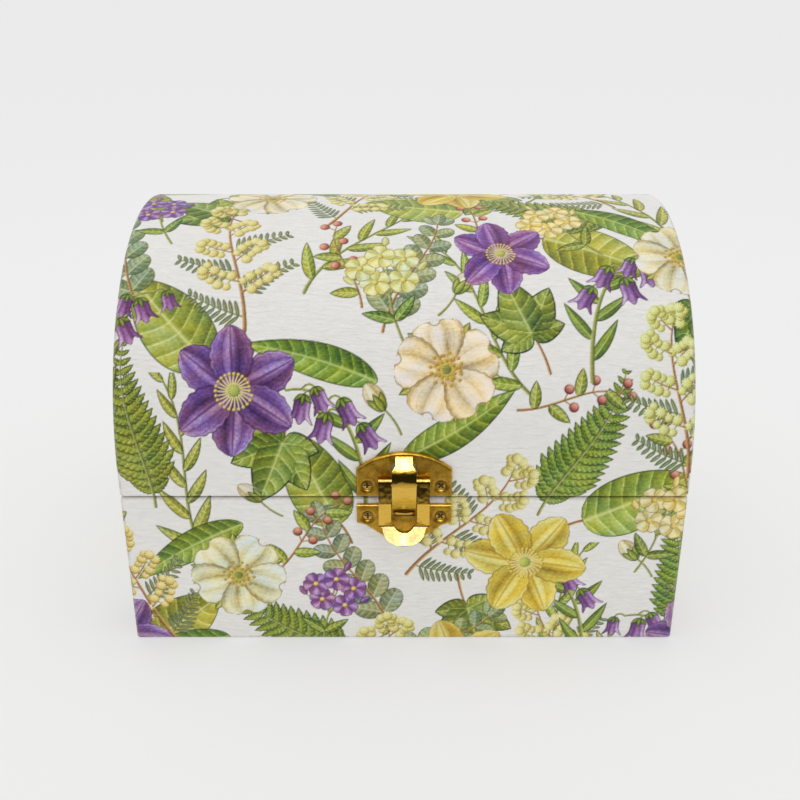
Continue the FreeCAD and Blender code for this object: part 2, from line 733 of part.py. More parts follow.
def bent_path(name, corners, radius):
    """An open path seen from the side: straight runs whose corners are rounded to a bend radius."""
    sketch = side_sketch(name)
    places = [flat(corner) for corner in corners]
    bend = value(radius)
    starts = [places[0]]
    ends = []
    arcs = []
    for before, corner, after in zip(places, places[1:], places[2:]):
        back = (before - corner).normalize()
        ahead = (after - corner).normalize()
        half_turn = back.getAngle(ahead) / 2
        reach = bend / math.tan(half_turn)
        centre = corner + (back + ahead).normalize() * (bend / math.sin(half_turn))
        ends.append(corner + back * reach)
        starts.append(corner + ahead * reach)
        arcs.append(Part.Arc(ends[-1], centre + (corner - centre).normalize() * bend, starts[-1]))
    ends.append(places[-1])
    runs = [sketch.addGeometry(Part.LineSegment(a, b)) for a, b in zip(starts, ends)]
    pin_point(sketch, runs[0], 1, corners[0])
    pin_point(sketch, runs[-1], 2, corners[-1])
    for k, arc in enumerate(arcs):
        curve = sketch.addGeometry(arc)
        first, last = run_order(sketch, curve, ends[k])
        sketch.addConstraint(Sketcher.Constraint("Tangent", runs[k], 2, curve, first))
        sketch.addConstraint(Sketcher.Constraint("Tangent", curve, last, runs[k + 1], 1))
        index = sketch.addConstraint(Sketcher.Constraint("Radius", curve, bend))
        sketch.setExpression(f"Constraints[{index}]", radius)
        mark = sketch.addGeometry(Part.Point(places[k + 1]), True)
        pin_point(sketch, mark, 1, corners[k + 1])
        for run in (runs[k], runs[k + 1]):
            sketch.addConstraint(Sketcher.Constraint("PointOnObject", mark, 1, run))
    return sketch


def from_seam(out, rise):
    """A place in a side view, given by how far out of the front and how far above the seam it is."""
    return (f"({FRONT} - {out})", f"({SEAM} + {rise})")


# Upper plate: the pan, slit along both sides of a strap that is pressed out into a bridge, with its
# rim shaped to the lid's round

def strap_outline(spare, top, foot):
    """The strap seen from the front: a narrow neck that widens at a shoulder. Spare makes it wider."""
    neck = f"(Sizes.strap_neck_width / 2 + {spare})"
    half = f"(Sizes.strap_width / 2 + {spare})"
    turns = [f"({SEAM} + Sizes.strap_neck_rise)", f"({SEAM} + Sizes.strap_shoulder_rise)"]
    right = list(zip((neck, neck, half, half), (top, *turns, foot)))
    left = [(f"-{x}", z) for x, z in reversed(right)]
    return [*right, *left]


def hasp_plate_blank():
    body = pan("hasp_plate", arch_outline, HASP_SCREW_Z, "Sizes.plate_back")
    slot = sketch_on(body, "hasp_plate_slot", "XZ_Plane", f"-{FRONT}")
    top = f"({SEAM} + Sizes.strap_root_rise - Sizes.plate_metal)"
    foot = f"({HASP_PLATE_FOOT} - Sizes.plate_metal)"
    draw(slot, strap_outline("Sizes.strap_slot_gap", top, foot))
    pocket(body, slot, "4 * Sizes.plate_depth", both_ways=True)
    path = bent_path("strap_path", [
        from_seam("(Sizes.plate_depth - Sizes.plate_metal / 2)", "Sizes.strap_root_rise"),
        from_seam("Sizes.strap_crown_out", "Sizes.strap_crown_rise"),
        from_seam("Sizes.strap_tail_out", "Sizes.strap_tail_rise"),
    ], "Sizes.strap_crown_radius")
    strip = sheet_strip("strap_strip", path, "Sizes.strap_metal", "Sizes.strap_width")
    outline = draw(front_sketch("strap_outline"), strap_outline(
        "0", HASP_PLATE_TOP, f"({SEAM} + Sizes.strap_tail_rise - Sizes.strap_metal)"))
    strap = common("strap", strip, extrude("strap_outline_bar", outline, "2 * Sizes.depth"))
    form = draw(side_sketch("lid_form_outline"), barrel("(Sizes.depth / 2 + Sizes.glue)", LID_FOOT))
    pressed = fuse("hasp_plate_pressed", [body, strap])
    return cut("hasp_plate_blank", pressed, extrude("lid_form", form, "Sizes.width"))


# Lower plate: the pan, with a bowed tongue pressed out of it and the slot that the tongue leaves

def catch_plate_blank():
    body = pan("catch_plate", shield_outline, CATCH_SCREW_Z, "0")
    level = f"({CATCH_TOP} - Sizes.tongue_drop)"
    half = "(Sizes.tongue_width / 2)"
    under = f"({level} - Sizes.tongue_metal)"
    slot_foot = f"({under} - Sizes.tongue_out + Sizes.plate_depth)"
    slot = sketch_on(body, "catch_plate_slot", "XZ_Plane", f"-{FRONT}")
    draw(slot, [(f"-{half}", slot_foot), (half, slot_foot), (half, under), (f"-{half}", under)])
    pocket(body, slot, "4 * Sizes.plate_depth", both_ways=True)
    tongue = sketch_on(body, "catch_plate_tongue", "XY_Plane", level)
    root = f"({PLATE_FACE} + Sizes.plate_metal)"
    shoulder = f"({FRONT} - Sizes.tongue_out + Sizes.tongue_bow)"
    draw(tongue, [
        (f"-{half}", root),
        (f"-{half}", shoulder, ("0", f"({FRONT} - Sizes.tongue_out)")),
        (half, shoulder),
        (half, root),
    ])
    pad(body, tongue, "Sizes.tongue_metal", reverse=True)
    return body


# Hasp: a rolled edge that turns under the strap, two rails, a window and a flared finger lip

ROLL_ARM = "(Sizes.roll_radius - Sizes.hasp_metal / 2)"
KNEE_AWAY = "(Sizes.knee_out - Sizes.pivot_out)"
KNEE_DROP = "(Sizes.pivot_rise - Sizes.knee_rise)"
LIP_TURNS = ("27", "55")
RAIL_LEAN = (f"(acos({ROLL_ARM} / sqrt({KNEE_AWAY} ^ 2 + {KNEE_DROP} ^ 2))"
             f" - atan({KNEE_DROP} / {KNEE_AWAY}))")


def hasp():
    path = bent_path("hasp_path", [
        from_seam(f"(Sizes.pivot_out + {ROLL_ARM} * cos({RAIL_LEAN}))",
                  f"(Sizes.pivot_rise + {ROLL_ARM} * sin({RAIL_LEAN}))"),
        from_seam("Sizes.knee_out", "Sizes.knee_rise"),
        from_seam("Sizes.lip_root_out", "Sizes.lip_root_rise"),
        from_seam("Sizes.lip_end_out", "Sizes.lip_end_rise"),
    ], "Sizes.hasp_bend")
    strip = sheet_strip("hasp_strip", path, "Sizes.hasp_metal", "Sizes.hasp_width")
    half = "(Sizes.hasp_width / 2)"
    lip = "(Sizes.lip_width / 2)"
    top = f"({SEAM} + Sizes.pivot_rise + Sizes.roll_radius)"
    rail_end = f"({SEAM} + Sizes.rail_end_rise)"
    shoulder = f"({SEAM} + Sizes.lip_shoulder_rise)"
    drop = "(Sizes.lip_shoulder_rise - Sizes.lip_end_rise)"

    def lip_edge(side, turn):
        """A place on the lip's oval edge, a turn down from its shoulder."""
        return (f"({side} * {lip} * cos({turn}))", f"({shoulder} - {drop} * sin({turn}))")

    outline = draw(front_sketch("hasp_outline"), [
        (f"-{half}", top),
        (f"-{half}", rail_end),
        (f"-{lip}", shoulder, lip_edge(-1, LIP_TURNS[0])),
        (*lip_edge(-1, LIP_TURNS[1]), lip_edge(0, "90")),
        (*lip_edge(1, LIP_TURNS[1]), lip_edge(1, LIP_TURNS[0])),
        (lip, shoulder),
        (half, rail_end),
        (half, top),
    ])
    gap = "(Sizes.window_width / 2)"
    side = f"({SEAM} + Sizes.window_side_rise)"
    window = draw(front_sketch("hasp_window"), [
        (f"-{gap}", top),
        (f"-{gap}", side, ("0", f"({SEAM} + Sizes.window_foot_rise)")),
        (gap, side),
        (gap, top),
    ])
    reach = "2 * Sizes.depth"
    shaped = common("hasp_shaped", strip, extrude("hasp_outline_bar", outline, reach))
    pierced = cut("hasp_pierced", shaped, extrude("hasp_window_bar", window, reach))
    roll = cylinder("hasp_roll", "Sizes.roll_radius", "Sizes.hasp_width", ALONG_X,
                    (f"-{half}", f"{FRONT} - Sizes.pivot_out", f"{SEAM} + Sizes.pivot_rise"))
    return fuse("hasp_joined", [pierced, roll])


drilled("hasp_plate", dished("hasp_plate", hasp_plate_blank(), HASP_SCREW_Z), hasp_plate_holes)
drilled("catch_plate", dished("catch_plate", catch_plate_blank(), CATCH_SCREW_Z), catch_plate_holes)
node(hasp(), "hasp")

doc.recompute()
for thing in doc.Objects:
    if {"Invalid", "Error"} & set(thing.State):
        raise RuntimeError(f"{thing.Name} failed: {thing.State}")
for piece in nodes:
    if piece.Shape.isNull() or not piece.Shape.isValid() or not piece.Shape.Solids:
        raise RuntimeError(f"{piece.Label} has no valid solid")
os.makedirs("parts", exist_ok=True)
for piece in nodes:
    piece.Shape.exportStep(f"parts/{piece.Label}.step")
    print(piece.Label, len(piece.Shape.Solids), round(piece.Shape.Volume, 2))
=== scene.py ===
import json
import math

import bpy
import numpy as np
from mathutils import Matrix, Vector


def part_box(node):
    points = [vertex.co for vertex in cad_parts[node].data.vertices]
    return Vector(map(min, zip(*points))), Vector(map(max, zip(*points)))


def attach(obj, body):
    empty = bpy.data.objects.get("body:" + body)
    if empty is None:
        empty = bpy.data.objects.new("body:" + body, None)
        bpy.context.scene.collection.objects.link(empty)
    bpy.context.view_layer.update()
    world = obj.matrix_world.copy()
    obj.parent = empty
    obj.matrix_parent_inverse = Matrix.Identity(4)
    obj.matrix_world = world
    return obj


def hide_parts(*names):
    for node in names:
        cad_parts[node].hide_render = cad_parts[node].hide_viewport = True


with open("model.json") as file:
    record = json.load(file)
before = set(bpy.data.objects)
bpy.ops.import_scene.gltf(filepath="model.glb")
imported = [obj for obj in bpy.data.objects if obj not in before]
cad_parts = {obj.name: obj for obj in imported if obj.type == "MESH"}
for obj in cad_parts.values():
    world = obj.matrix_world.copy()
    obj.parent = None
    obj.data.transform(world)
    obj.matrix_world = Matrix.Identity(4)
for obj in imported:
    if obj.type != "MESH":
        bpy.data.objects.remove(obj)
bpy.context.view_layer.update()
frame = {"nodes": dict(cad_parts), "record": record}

MM = 0.001
scene = bpy.context.scene

# Sizes of the covered box, read from the solids, in millimetres


def span(node):
    """The lowest and highest corner of a solid, in millimetres."""
    return [np.array(corner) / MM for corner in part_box(node)]


BASE_LOW, BASE_HIGH = span("base_paper_cover")
LID_LOW, LID_HIGH = span("lid_paper_cover")
HALF_WIDTH = BASE_HIGH[0]
HALF_DEPTH = BASE_HIGH[1]
BASE_RIM = BASE_HIGH[2]
LID_FOOT = LID_LOW[2]
CROWN = LID_HIGH[2]
SPRING = CROWN - HALF_DEPTH

# The paper's corners, folded rims and turned-in edges, as the solids have them, in millimetres
CORNER = 2.0
RIM_ROUND = 1.2
END_RIM_WIDTH = 7.2
LID_RIM_WIDTH = 9.2
BASE_TURN_IN = 10.6
LID_TURN_IN = 6.6

# Brass is dull up to the plates' faces and rubbed bright this far out from the middle, in metres
RUBBED_FROM = 0.0908
RUBBED_FULL = 0.0916

# Colours of the brass pieces, the share left in brown clouds, and of specks and recesses' painted shade and
# grime
LATCH_COLOUR = (0.80, 0.49, 0.055)
HINGE_COLOUR = (0.72, 0.47, 0.095)
SCREW_COLOUR = (0.95, 0.68, 0.17)
BROWNED = (0.62, 0.52, 0.40)
SPECK_COLOUR = (0.10, 0.055, 0.02, 1.0)
SHADE_AND_GRIME_COLOUR = (0.045, 0.028, 0.012, 1.0)


class Wire:
    """A value in a finish's node tree. Arithmetic on it adds Math nodes."""

    def __init__(self, finish, socket):
        self.finish = finish
        self.socket = socket

    def _math(self, operation, first, second):
        return self.finish.node("ShaderNodeMath", {"operation": operation}, {0: first, 1: second})

    def __add__(self, other):
        return self._math("ADD", self, other)

    def __sub__(self, other):
        return self._math("SUBTRACT", self, other)

    def __rsub__(self, other):
        return self._math("SUBTRACT", other, self)

    def __mul__(self, other):
        return self._math("MULTIPLY", self, other)

    def __truediv__(self, other):
        return self._math("DIVIDE", self, other)

    def __rtruediv__(self, other):
        return self._math("DIVIDE", other, self)

    __radd__ = __add__
    __rmul__ = __mul__


class Finish:
    """A material, with one method that adds any node to it."""

    def __init__(self, name):
        self.material = bpy.data.materials.new(name)
        self.material.use_nodes = True
        self.tree = self.material.node_tree
        self.shader = self.tree.nodes["Principled BSDF"]

    def node(self, kind, settings, inputs, output=0):
        """A node of this kind: its settings are set first, then its sockets get values or links."""
        made = self.tree.nodes.new(kind)
        for key, setting in settings.items():
            setattr(made, key, setting)
        for key, value in inputs.items():
            self.feed(made.inputs[key], value)
        return Wire(self, made.outputs[output])

    def feed(self, socket, value):
        """Links a wire to a socket, or sets the socket to a plain value."""
        if isinstance(value, Wire):
            self.tree.links.new(value.socket, socket)
        else:
            socket.default_value = value

    def surface(self, **inputs):
        """Sets the shader's sockets, named with underscores for spaces."""
        for key, value in inputs.items():
            self.feed(self.shader.inputs[key.replace("_", " ")], value)
        return self.material

    def mix(self, factor, first, second, blend="MIX"):
        """The first colour, with the second over it as far as the factor says."""
        settings = {"data_type": "RGBA", "blend_type": blend, "clamp_result": True}
        return self.node("ShaderNodeMix", settings, {0: factor, 6: first, 7: second}, 2)

    def noise(self, place, scale, detail, rough, distortion=0.0):
        return self.node("ShaderNodeTexNoise", {}, {
            "Vector": place, "Scale": scale, "Detail": detail, "Roughness": rough, "Distortion": distortion})

    def stretched(self, place, scale):
        return self.node("ShaderNodeMapping", {}, {"Vector": place, "Scale": scale})

    def bump(self, height, strength, distance):
        return self.node("ShaderNodeBump", {}, {
            "Height": height, "Strength": strength, "Distance": distance})

    def place(self):
        return self.node("ShaderNodeTexCoord", {}, {}, "Object")

    def along(self, axis):
        """The place along one axis of the object, in metres."""
        return self.node("ShaderNodeSeparateXYZ", {}, {0: self.place()}, axis)

    def attribute(self, name, output):
        return self.node("ShaderNodeAttribute", {"attribute_name": name}, {}, output)

    def ramp(self, value, low, high):
        """A soft ramp from 0 where the value is low to 1 where it is high."""
        return self.node("ShaderNodeMapRange", {"interpolation_type": "SMOOTHSTEP"}, {
            "Value": value, "From Min": low, "From Max": high})


def cover_paper():
    """Printed paper, embossed with a fine level ripple and grain over slack creases; the print is lighter on
    the crests of the ripple and the grain and darker in their troughs, painted light and shade of that
    relief."""
    finish = Finish("cover_paper")
    spot = finish.attribute("paper_place", "Vector")
    ink = finish.attribute("print_colour", "Color")
    ripple = finish.noise(finish.stretched(spot, (0.20, 0.80, 1.0)), 1.0, 3.0, 0.55, 0.9)
    crease = finish.noise(finish.stretched(spot, (0.045, 0.20, 1.0)), 1.0, 4.0, 0.6)
    grain = finish.noise(spot, 2.4, 2.0, 0.5)
    return finish.surface(
        # Painted light and shade of the emboss: the ripple and the grain lighten the print on their crests
        # and darken it in their troughs
        Base_Color=finish.mix(1.0, ink, 0.85 + ripple * 0.18 + grain * 0.10, "MULTIPLY"),
        Roughness=0.34 + crease * 0.18,
        Specular_IOR_Level=0.4,
        Normal=finish.bump(ripple * 0.0005 + crease * 0.0007 + grain * 0.0001, 1.0, 1.0))


def brass(name, colour, crown=0.0, crown_width=0.005, bow=0.0, bow_from=0.0):
    """Brass plating under thin lacquer, slightly dented, and crowned across its middle by a height that
    falls with one over one plus the square of the distance; below a level it is bowed out by the square of
    the drop. Parts that stand out beyond the plates' faces are rubbed bright; the faces stay satin, with
    brown clouds, fine upright rolling marks and pinhead specks. Recesses are filled with painted shade and
    grime."""
    finish = Finish(name)
    place = finish.place()
    dent = finish.noise(place, 150.0, 2.0, 0.5)
    cloud = finish.noise(place, 300.0, 4.0, 0.62)
    rolled = finish.noise(finish.stretched(place, (2600.0, 2600.0, 320.0)), 1.0, 3.0, 0.55)
    specks = finish.ramp(finish.noise(place, 2000.0, 2.0, 0.5), 0.58, 0.72)
    out = finish.along("Y")
    aside = finish.along("X") / crown_width
    drop = finish.node("ShaderNodeMath", {"operation": "MAXIMUM"}, {0: bow_from - finish.along("Z"), 1: 0.0})
    satin = 1.0 - finish.ramp(out * out, RUBBED_FROM ** 2, RUBBED_FULL ** 2)
    browned = (*[c * k for c, k in zip(colour, BROWNED)], 1.0)
    worn = finish.mix(finish.ramp(cloud, 0.62, 0.32) * (satin * 0.75 + 0.15), (*colour, 1.0), browned)
    worn = finish.mix(rolled * (satin * 0.4 + 0.1), worn, browned)
    worn = finish.mix(specks * (satin * 0.55 + 0.1), worn, SPECK_COLOUR)
    height = (dent + cloud * 0.15 + rolled * 0.05) * 0.0005 + crown / (1.0 + aside * aside)
    height = height + (1.0 - satin) * drop * drop * bow
    return finish.surface(
        # Painted shade and grime: where a piece carries the field on its points, its colour goes dark in
        # recesses
        Base_Color=finish.mix(finish.attribute("grime", "Fac"), worn, SHADE_AND_GRIME_COLOUR),
        Metallic=1.0,
        Roughness=0.13 + satin * 0.30 + cloud * 0.08,
        Coat_Weight=0.6 - satin * 0.5,
        Coat_Roughness=0.15,
        Normal=finish.bump(height, 1.0, 1.0))


def board():
    """Bare fibreboard: fine fibres and pale flecks over slow clouds of tone."""
    finish = Finish("fibreboard")
    place = finish.place()
    fibre = finish.noise(finish.stretched(place, (700.0, 700.0, 1900.0)), 1.0, 4.0, 0.65)
    fleck = finish.ramp(finish.noise(place, 620.0, 3.0, 0.6), 0.52, 0.72)
    cloud = finish.noise(place, 55.0, 4.0, 0.6)
    mottled = finish.mix(fibre, (0.24, 0.155, 0.085, 1.0), (0.52, 0.38, 0.24, 1.0))
    mottled = finish.mix(cloud * 0.5, mottled, (0.34, 0.235, 0.14, 1.0))
    return finish.surface(
        Base_Color=finish.mix(fleck * 0.4, mottled, (0.62, 0.50, 0.35, 1.0)),
        Roughness=0.75 + fleck * 0.2,
        Normal=finish.bump(fibre + fleck * 0.5, 0.4, 0.0002))


def plain_paper():
    """Plain off-white paper with fine fibres."""
    finish = Finish("bottom_paper")
    place = finish.place()
    fibre = finish.noise(place, 1500.0, 4.0, 0.6)
    return finish.surface(
        Base_Color=finish.mix(fibre, (0.62, 0.60, 0.55, 1.0), (0.76, 0.74, 0.70, 1.0)),
        Roughness=0.8 + fibre * 0.1,
        Normal=finish.bump(fibre, 0.2, 0.0001))


# The print on the cover paper

# Its repeat, a motif's reach and the width of a soft edge, in millimetres
REPEAT = (236.0, 236.0)
MOTIF_REACH = 41.0
SOFT = 0.34

# Colours of bare paper and of board dust, and how far the tint of a motif drifts
GROUND = np.array((0.935, 0.928, 0.910))
DUST = np.array((0.66, 0.64, 0.60))
WASH = np.array((0.045, 0.015, -0.05))
HUE_DRIFT = np.array((0.025, 0.018, 0.025))


def smooth(low, high, x):
    """A ramp from 0 at low to 1 at high that leaves and arrives level."""
    t = np.clip((x - low) / (high - low), 0.0, 1.0)
    return t * t * (3 - 2 * t)


def tone(shade, tones):
    """A colour for each shade from 0 to 1, between evenly spaced tones."""
    tones = np.asarray(tones)
    at = np.clip(shade, 0.0, 1.0) * (len(tones) - 1)
    low = np.minimum(at.astype(int), len(tones) - 2)
    share = (at - low)[:, None]
    return tones[low] * (1 - share) + tones[low + 1] * share


def bent_wave(u, v, pitch, bend, bend_pitch, start=0.0, bend_start=0.0):
    """A sine wave along u whose crests are bent by a sine wave along v."""
    return np.sin(pitch * u + start + bend * np.sin(bend_pitch * v + bend_start))


def bezier(points, count):
    """Places along the curve that a few control points pull, by blending neighbours until one is left."""
    t = np.linspace(0.0, 1.0, count)[:, None]
    runs = [np.asarray(p, float) for p in points]
    while len(runs) > 1:
        runs = [a * (1 - t) + b * t for a, b in zip(runs, runs[1:])]
    return runs[0]


class PrintedSheet:
    """Colours of a printed sheet at places given in millimetres across and up, painted motif over motif."""

    def __init__(self, across, up):
        u, v = across.ravel(), up.ravel()
        wave = bent_wave(u, v, 0.31, 1.7, 0.13) * bent_wave(v, u, 0.27, 1.9, 0.17, bend_start=1.0)
        ripple = bent_wave(u, v, 1.9, 2.0, 0.9) * bent_wave(v, u, 1.6, 2.0, 1.1)
        self.across = u
        self.up = v
        self.grain = 0.6 * wave + 0.4 * ripple
        self.wash = bent_wave(u, v, 0.21, 2.3, 0.19) * bent_wave(v, u, 0.23, 1.6, 0.15, math.pi / 2, 2.0)
        self.stroke = bent_wave(u, v, 4.9, 2.6, 2.1) * bent_wave(v, u, 5.3, 2.4, 2.7, bend_start=0.7)
        self.colour = GROUND + 0.006 * self.grain[:, None]


class Spot:
    """The places near one motif, in the motif's own turned and scaled coordinates. The print repeats."""

    def __init__(self, sheet, place, turn, size, flip):
        offset = [(own - at + period / 2) % period - period / 2
                  for own, at, period in zip((sheet.across, sheet.up), place, REPEAT)]
        self.hit = np.nonzero(np.maximum(abs(offset[0]), abs(offset[1])) < MOTIF_REACH * size)[0]
        dx, dy = (o[self.hit] for o in offset)
        self.sheet = sheet
        self.x = flip * (dx * math.cos(turn) + dy * math.sin(turn)) / size
        self.y = (dy * math.cos(turn) - dx * math.sin(turn)) / size
        self.soft = SOFT / size
        self.grain = sheet.grain[self.hit]
        self.wash = sheet.wash[self.hit]
        self.stroke = sheet.stroke[self.hit]
        self.hue = HUE_DRIFT * np.sin((place[0] * 1.3 + place[1]) * np.array((0.7, 0.9, 1.9)))

    def lay(self, at, cover, colour):
        """Paints a colour over some of the places, each as far as it is covered."""
        hit = self.hit[at]
        self.sheet.colour[hit] += cover[:, None] * (colour - self.sheet.colour[hit])

    def within(self, low, high):
        """Which of the places lie in a box."""
        return np.nonzero((self.x > low[0]) & (self.x < high[0]) & (self.y > low[1]) & (self.y < high[1]))[0]

    def local(self, root, turn, length, width, bend):
        """Places in a blade's own frame: share of its length, and distance from its bent middle line."""
        c, s = math.cos(turn), math.sin(turn)
        dx, dy = self.x - root[0], self.y - root[1]
        along = (dx * c + dy * s) / length
        across = dy * c - dx * s - bend * length * along * along
        at = np.nonzero((along > -0.05) & (along < 1.08) & (abs(across) < width))[0]
        return at, along[at], across[at]

    def blade(self, root, turn, length, width, tones, bend=0.0, form=(0.6, 0.9), veins=0.0, streaks=0.0,
              edge=None, rib=None, notch=0.0, wave=0.0, lift=0.0, lit=0.12):
        """A leaf or petal: its half width follows a power of the share from its root times a power of the
        share to its tip. Its shade comes from its veins, its streaks, the side that faces the light, and
        lift, which lightens it towards the tip."""
        turn = math.radians(turn)
        at, along, across = self.local(root, turn, length, width, bend)
        share = np.clip(along, 1e-4, 1 - 1e-4)
        a, b = form
        peak = a / (a + b)
        half = width / 2 * (share / peak) ** a * ((1 - share) / (1 - peak)) ** b
        half = half * (1 + wave * np.sin(along * 38.0 + root[0]))
        side = across / np.maximum(half, 1e-3)
        tip = 1 - notch * np.exp(-(side / 0.3) ** 2)
        room = np.minimum(half - abs(across), np.minimum(along, tip - along) * length + 0.05)
        cover = np.clip(room / self.soft + 0.5, 0.0, 1.0)
        keep = cover > 0.004
        at, along, across, side, room, cover = (v[keep] for v in (at, along, across, side, room, cover))
        shade = 0.5 + lit * np.sign(across) * smooth(0.0, 0.25, abs(side)) + lift * (along - 0.5)
        shade = shade + 0.10 * self.grain[at] + 0.13 * self.stroke[at]
        if veins:
            phase = along * veins - 0.9 * abs(side) ** 1.3
            cell = phase - np.floor(phase)
            shade = shade + 0.30 * (cell - 0.5) * smooth(0.02, 0.3, abs(side))
            shade = shade + 0.24 * (1 - smooth(0.0, 0.13, np.minimum(cell, 1 - cell)))
        if streaks:
            shade = shade + 0.16 * np.sin(side * streaks + 2.0 * along) * smooth(0.0, 0.4, along)
            shade = shade - 0.14 * np.maximum(0, np.sin(side * streaks * 2.3 + 1.0)) ** 6
        shade = shade + 0.10 * (1 - side * side) - 0.05
        colour = tone(shade, tones) + self.hue + self.wash[at, None] * WASH
        if rib is not None:
            line = np.exp(-(across / (0.030 * width * (1.15 - along) + 0.10)) ** 2)
            colour = colour + (0.8 * line)[:, None] * (np.asarray(rib) - colour)
        if edge is not None:
            line = 1 - smooth(0.12, 0.55, room)
            colour = colour + (0.75 * line)[:, None] * (np.asarray(edge) - colour)
        self.lay(at, cover, colour)

    def stem(self, path, thick, thin, tones):
        """A stem along a curve, tapered from thick to thin and shaded from its lit side to its dark side."""
        curve = bezier(path, 26)
        at = self.within(curve.min(0) - thick, curve.max(0) + thick)
        p = np.stack((self.x[at], self.y[at]), -1)[:, None]
        run = np.diff(curve, axis=0)
        offset = p - curve[:-1]
        share = np.clip((offset * run).sum(-1) / (run * run).sum(-1), 0.0, 1.0)
        gap = np.hypot(*np.moveaxis(offset - share[..., None] * run, -1, 0))
        nearest = gap.argmin(1)
        pick = np.arange(len(at)), nearest
        side = np.sign(run[nearest, 0] * offset[pick][:, 1] - run[nearest, 1] * offset[pick][:, 0])
        radius = thick + (thin - thick) * (nearest + share[pick]) / len(run)
        cover = np.clip((radius - gap[pick]) / self.soft + 0.5, 0.0, 1.0)
        shade = 0.55 + 0.45 * side * gap[pick] / radius + 0.12 * self.stroke[at]
        self.lay(at, cover, tone(shade, tones))

    def ball(self, middle, radius, tones, fuzz=0.0):
        """A round head, lightest up to the left, with a dark rim and, if fuzzy, a fringe of fine strokes."""
        at = self.within(np.array(middle) - radius - 1, np.array(middle) + radius + 1)
        dx, dy = self.x[at] - middle[0], self.y[at] - middle[1]
        gap = np.hypot(dx, dy)
        stroke = np.sin(11 * np.arctan2(dy, dx) + 5 * middle[0])
        edge = radius * (1 + fuzz * stroke)
        cover = np.clip((edge - gap) / self.soft + 0.5, 0.0, 1.0)
        shade = 0.62 + 0.34 * (dy - dx) / radius / 1.4 - 0.34 * smooth(0.5, 1.0, gap / edge)
        shade = shade + 2.2 * fuzz * stroke * smooth(0.15, 0.8, gap / radius)
        self.lay(at, cover, tone(shade, tones) + self.hue)


LEAF = ((0.14, 0.22, 0.04), (0.29, 0.39, 0.08), (0.46, 0.56, 0.15), (0.65, 0.72, 0.30), (0.83, 0.86, 0.56))
FRESH = ((0.25, 0.29, 0.05), (0.43, 0.48, 0.10), (0.61, 0.65, 0.19), (0.77, 0.79, 0.36), (0.90, 0.90, 0.62))
SAGE = ((0.24, 0.29, 0.15), (0.39, 0.45, 0.26), (0.54, 0.59, 0.38), (0.69, 0.73, 0.53), (0.83, 0.85, 0.71))
PURPLE = ((0.21, 0.08, 0.24), (0.36, 0.18, 0.40), (0.51, 0.31, 0.56), (0.68, 0.51, 0.72), (0.87, 0.79, 0.89))
CREAM = ((0.60, 0.51, 0.30), (0.80, 0.74, 0.50), (0.92, 0.88, 0.69), (0.96, 0.94, 0.83), (0.98, 0.97, 0.92))
YELLOW = ((0.52, 0.39, 0.08), (0.75, 0.60, 0.15), (0.88, 0.77, 0.30), (0.94, 0.88, 0.54), (0.98, 0.95, 0.79))
PALE = ((0.55, 0.48, 0.16), (0.75, 0.69, 0.30), (0.88, 0.84, 0.48), (0.94, 0.92, 0.67), (0.97, 0.96, 0.83))
TWIG = ((0.36, 0.21, 0.08), (0.57, 0.37, 0.17), (0.74, 0.56, 0.32), (0.87, 0.74, 0.52))
STALK = ((0.28, 0.32, 0.10), (0.46, 0.50, 0.20), (0.64, 0.66, 0.34), (0.80, 0.80, 0.54))
BERRY = ((0.34, 0.10, 0.10), (0.55, 0.24, 0.19), (0.72, 0.41, 0.33), (0.88, 0.66, 0.56), (0.96, 0.88, 0.82))
INK = (0.10, 0.15, 0.05)
PLUM = (0.22, 0.08, 0.27)
UMBER = (0.52, 0.41, 0.24)


def around(radius, turn):
    """A place at a distance from the middle, on a ray turned by some degrees."""
    return radius * math.cos(math.radians(turn)), radius * math.sin(math.radians(turn))


def leans(spots):
    """The way that a stem runs at each of its spots, in degrees."""
    return np.degrees(np.arctan2(*np.gradient(spots, axis=0).T[::-1]))


def star_flower(spot, petals=PURPLE, line=PLUM):
    """Six pointed petals, three over three, round a tuft of cream stamens."""
    for start in (30.0, 90.0):
        for turn in np.arange(start, start + 360, 120):
            wobble = 6.0 * math.sin(turn)
            spot.blade(around(1.0, turn), turn + wobble, 22.5, 15.5, petals, bend=0.08 * math.sin(3 * turn),
                       form=(0.62, 0.62), streaks=7.0, edge=line, rib=petals[1], wave=0.035, lift=0.30)
    for turn in np.arange(0, 360, 15):
        tip = around(5.4 + 1.2 * math.sin(turn * 2.1), turn)
        path = around(1.0, turn), around(3.4, turn + 9), tip
        spot.stem(path, 0.34, 0.22, (YELLOW[2], YELLOW[3], CREAM[3]))
        spot.ball(tip, 0.62, YELLOW)
    spot.ball((0, 0), 2.2, (STALK[1], STALK[2], FRESH[3], YELLOW[3]), 0.1)


def yellow_star(spot):
    """The star flower in yellow."""
    star_flower(spot, YELLOW, UMBER)


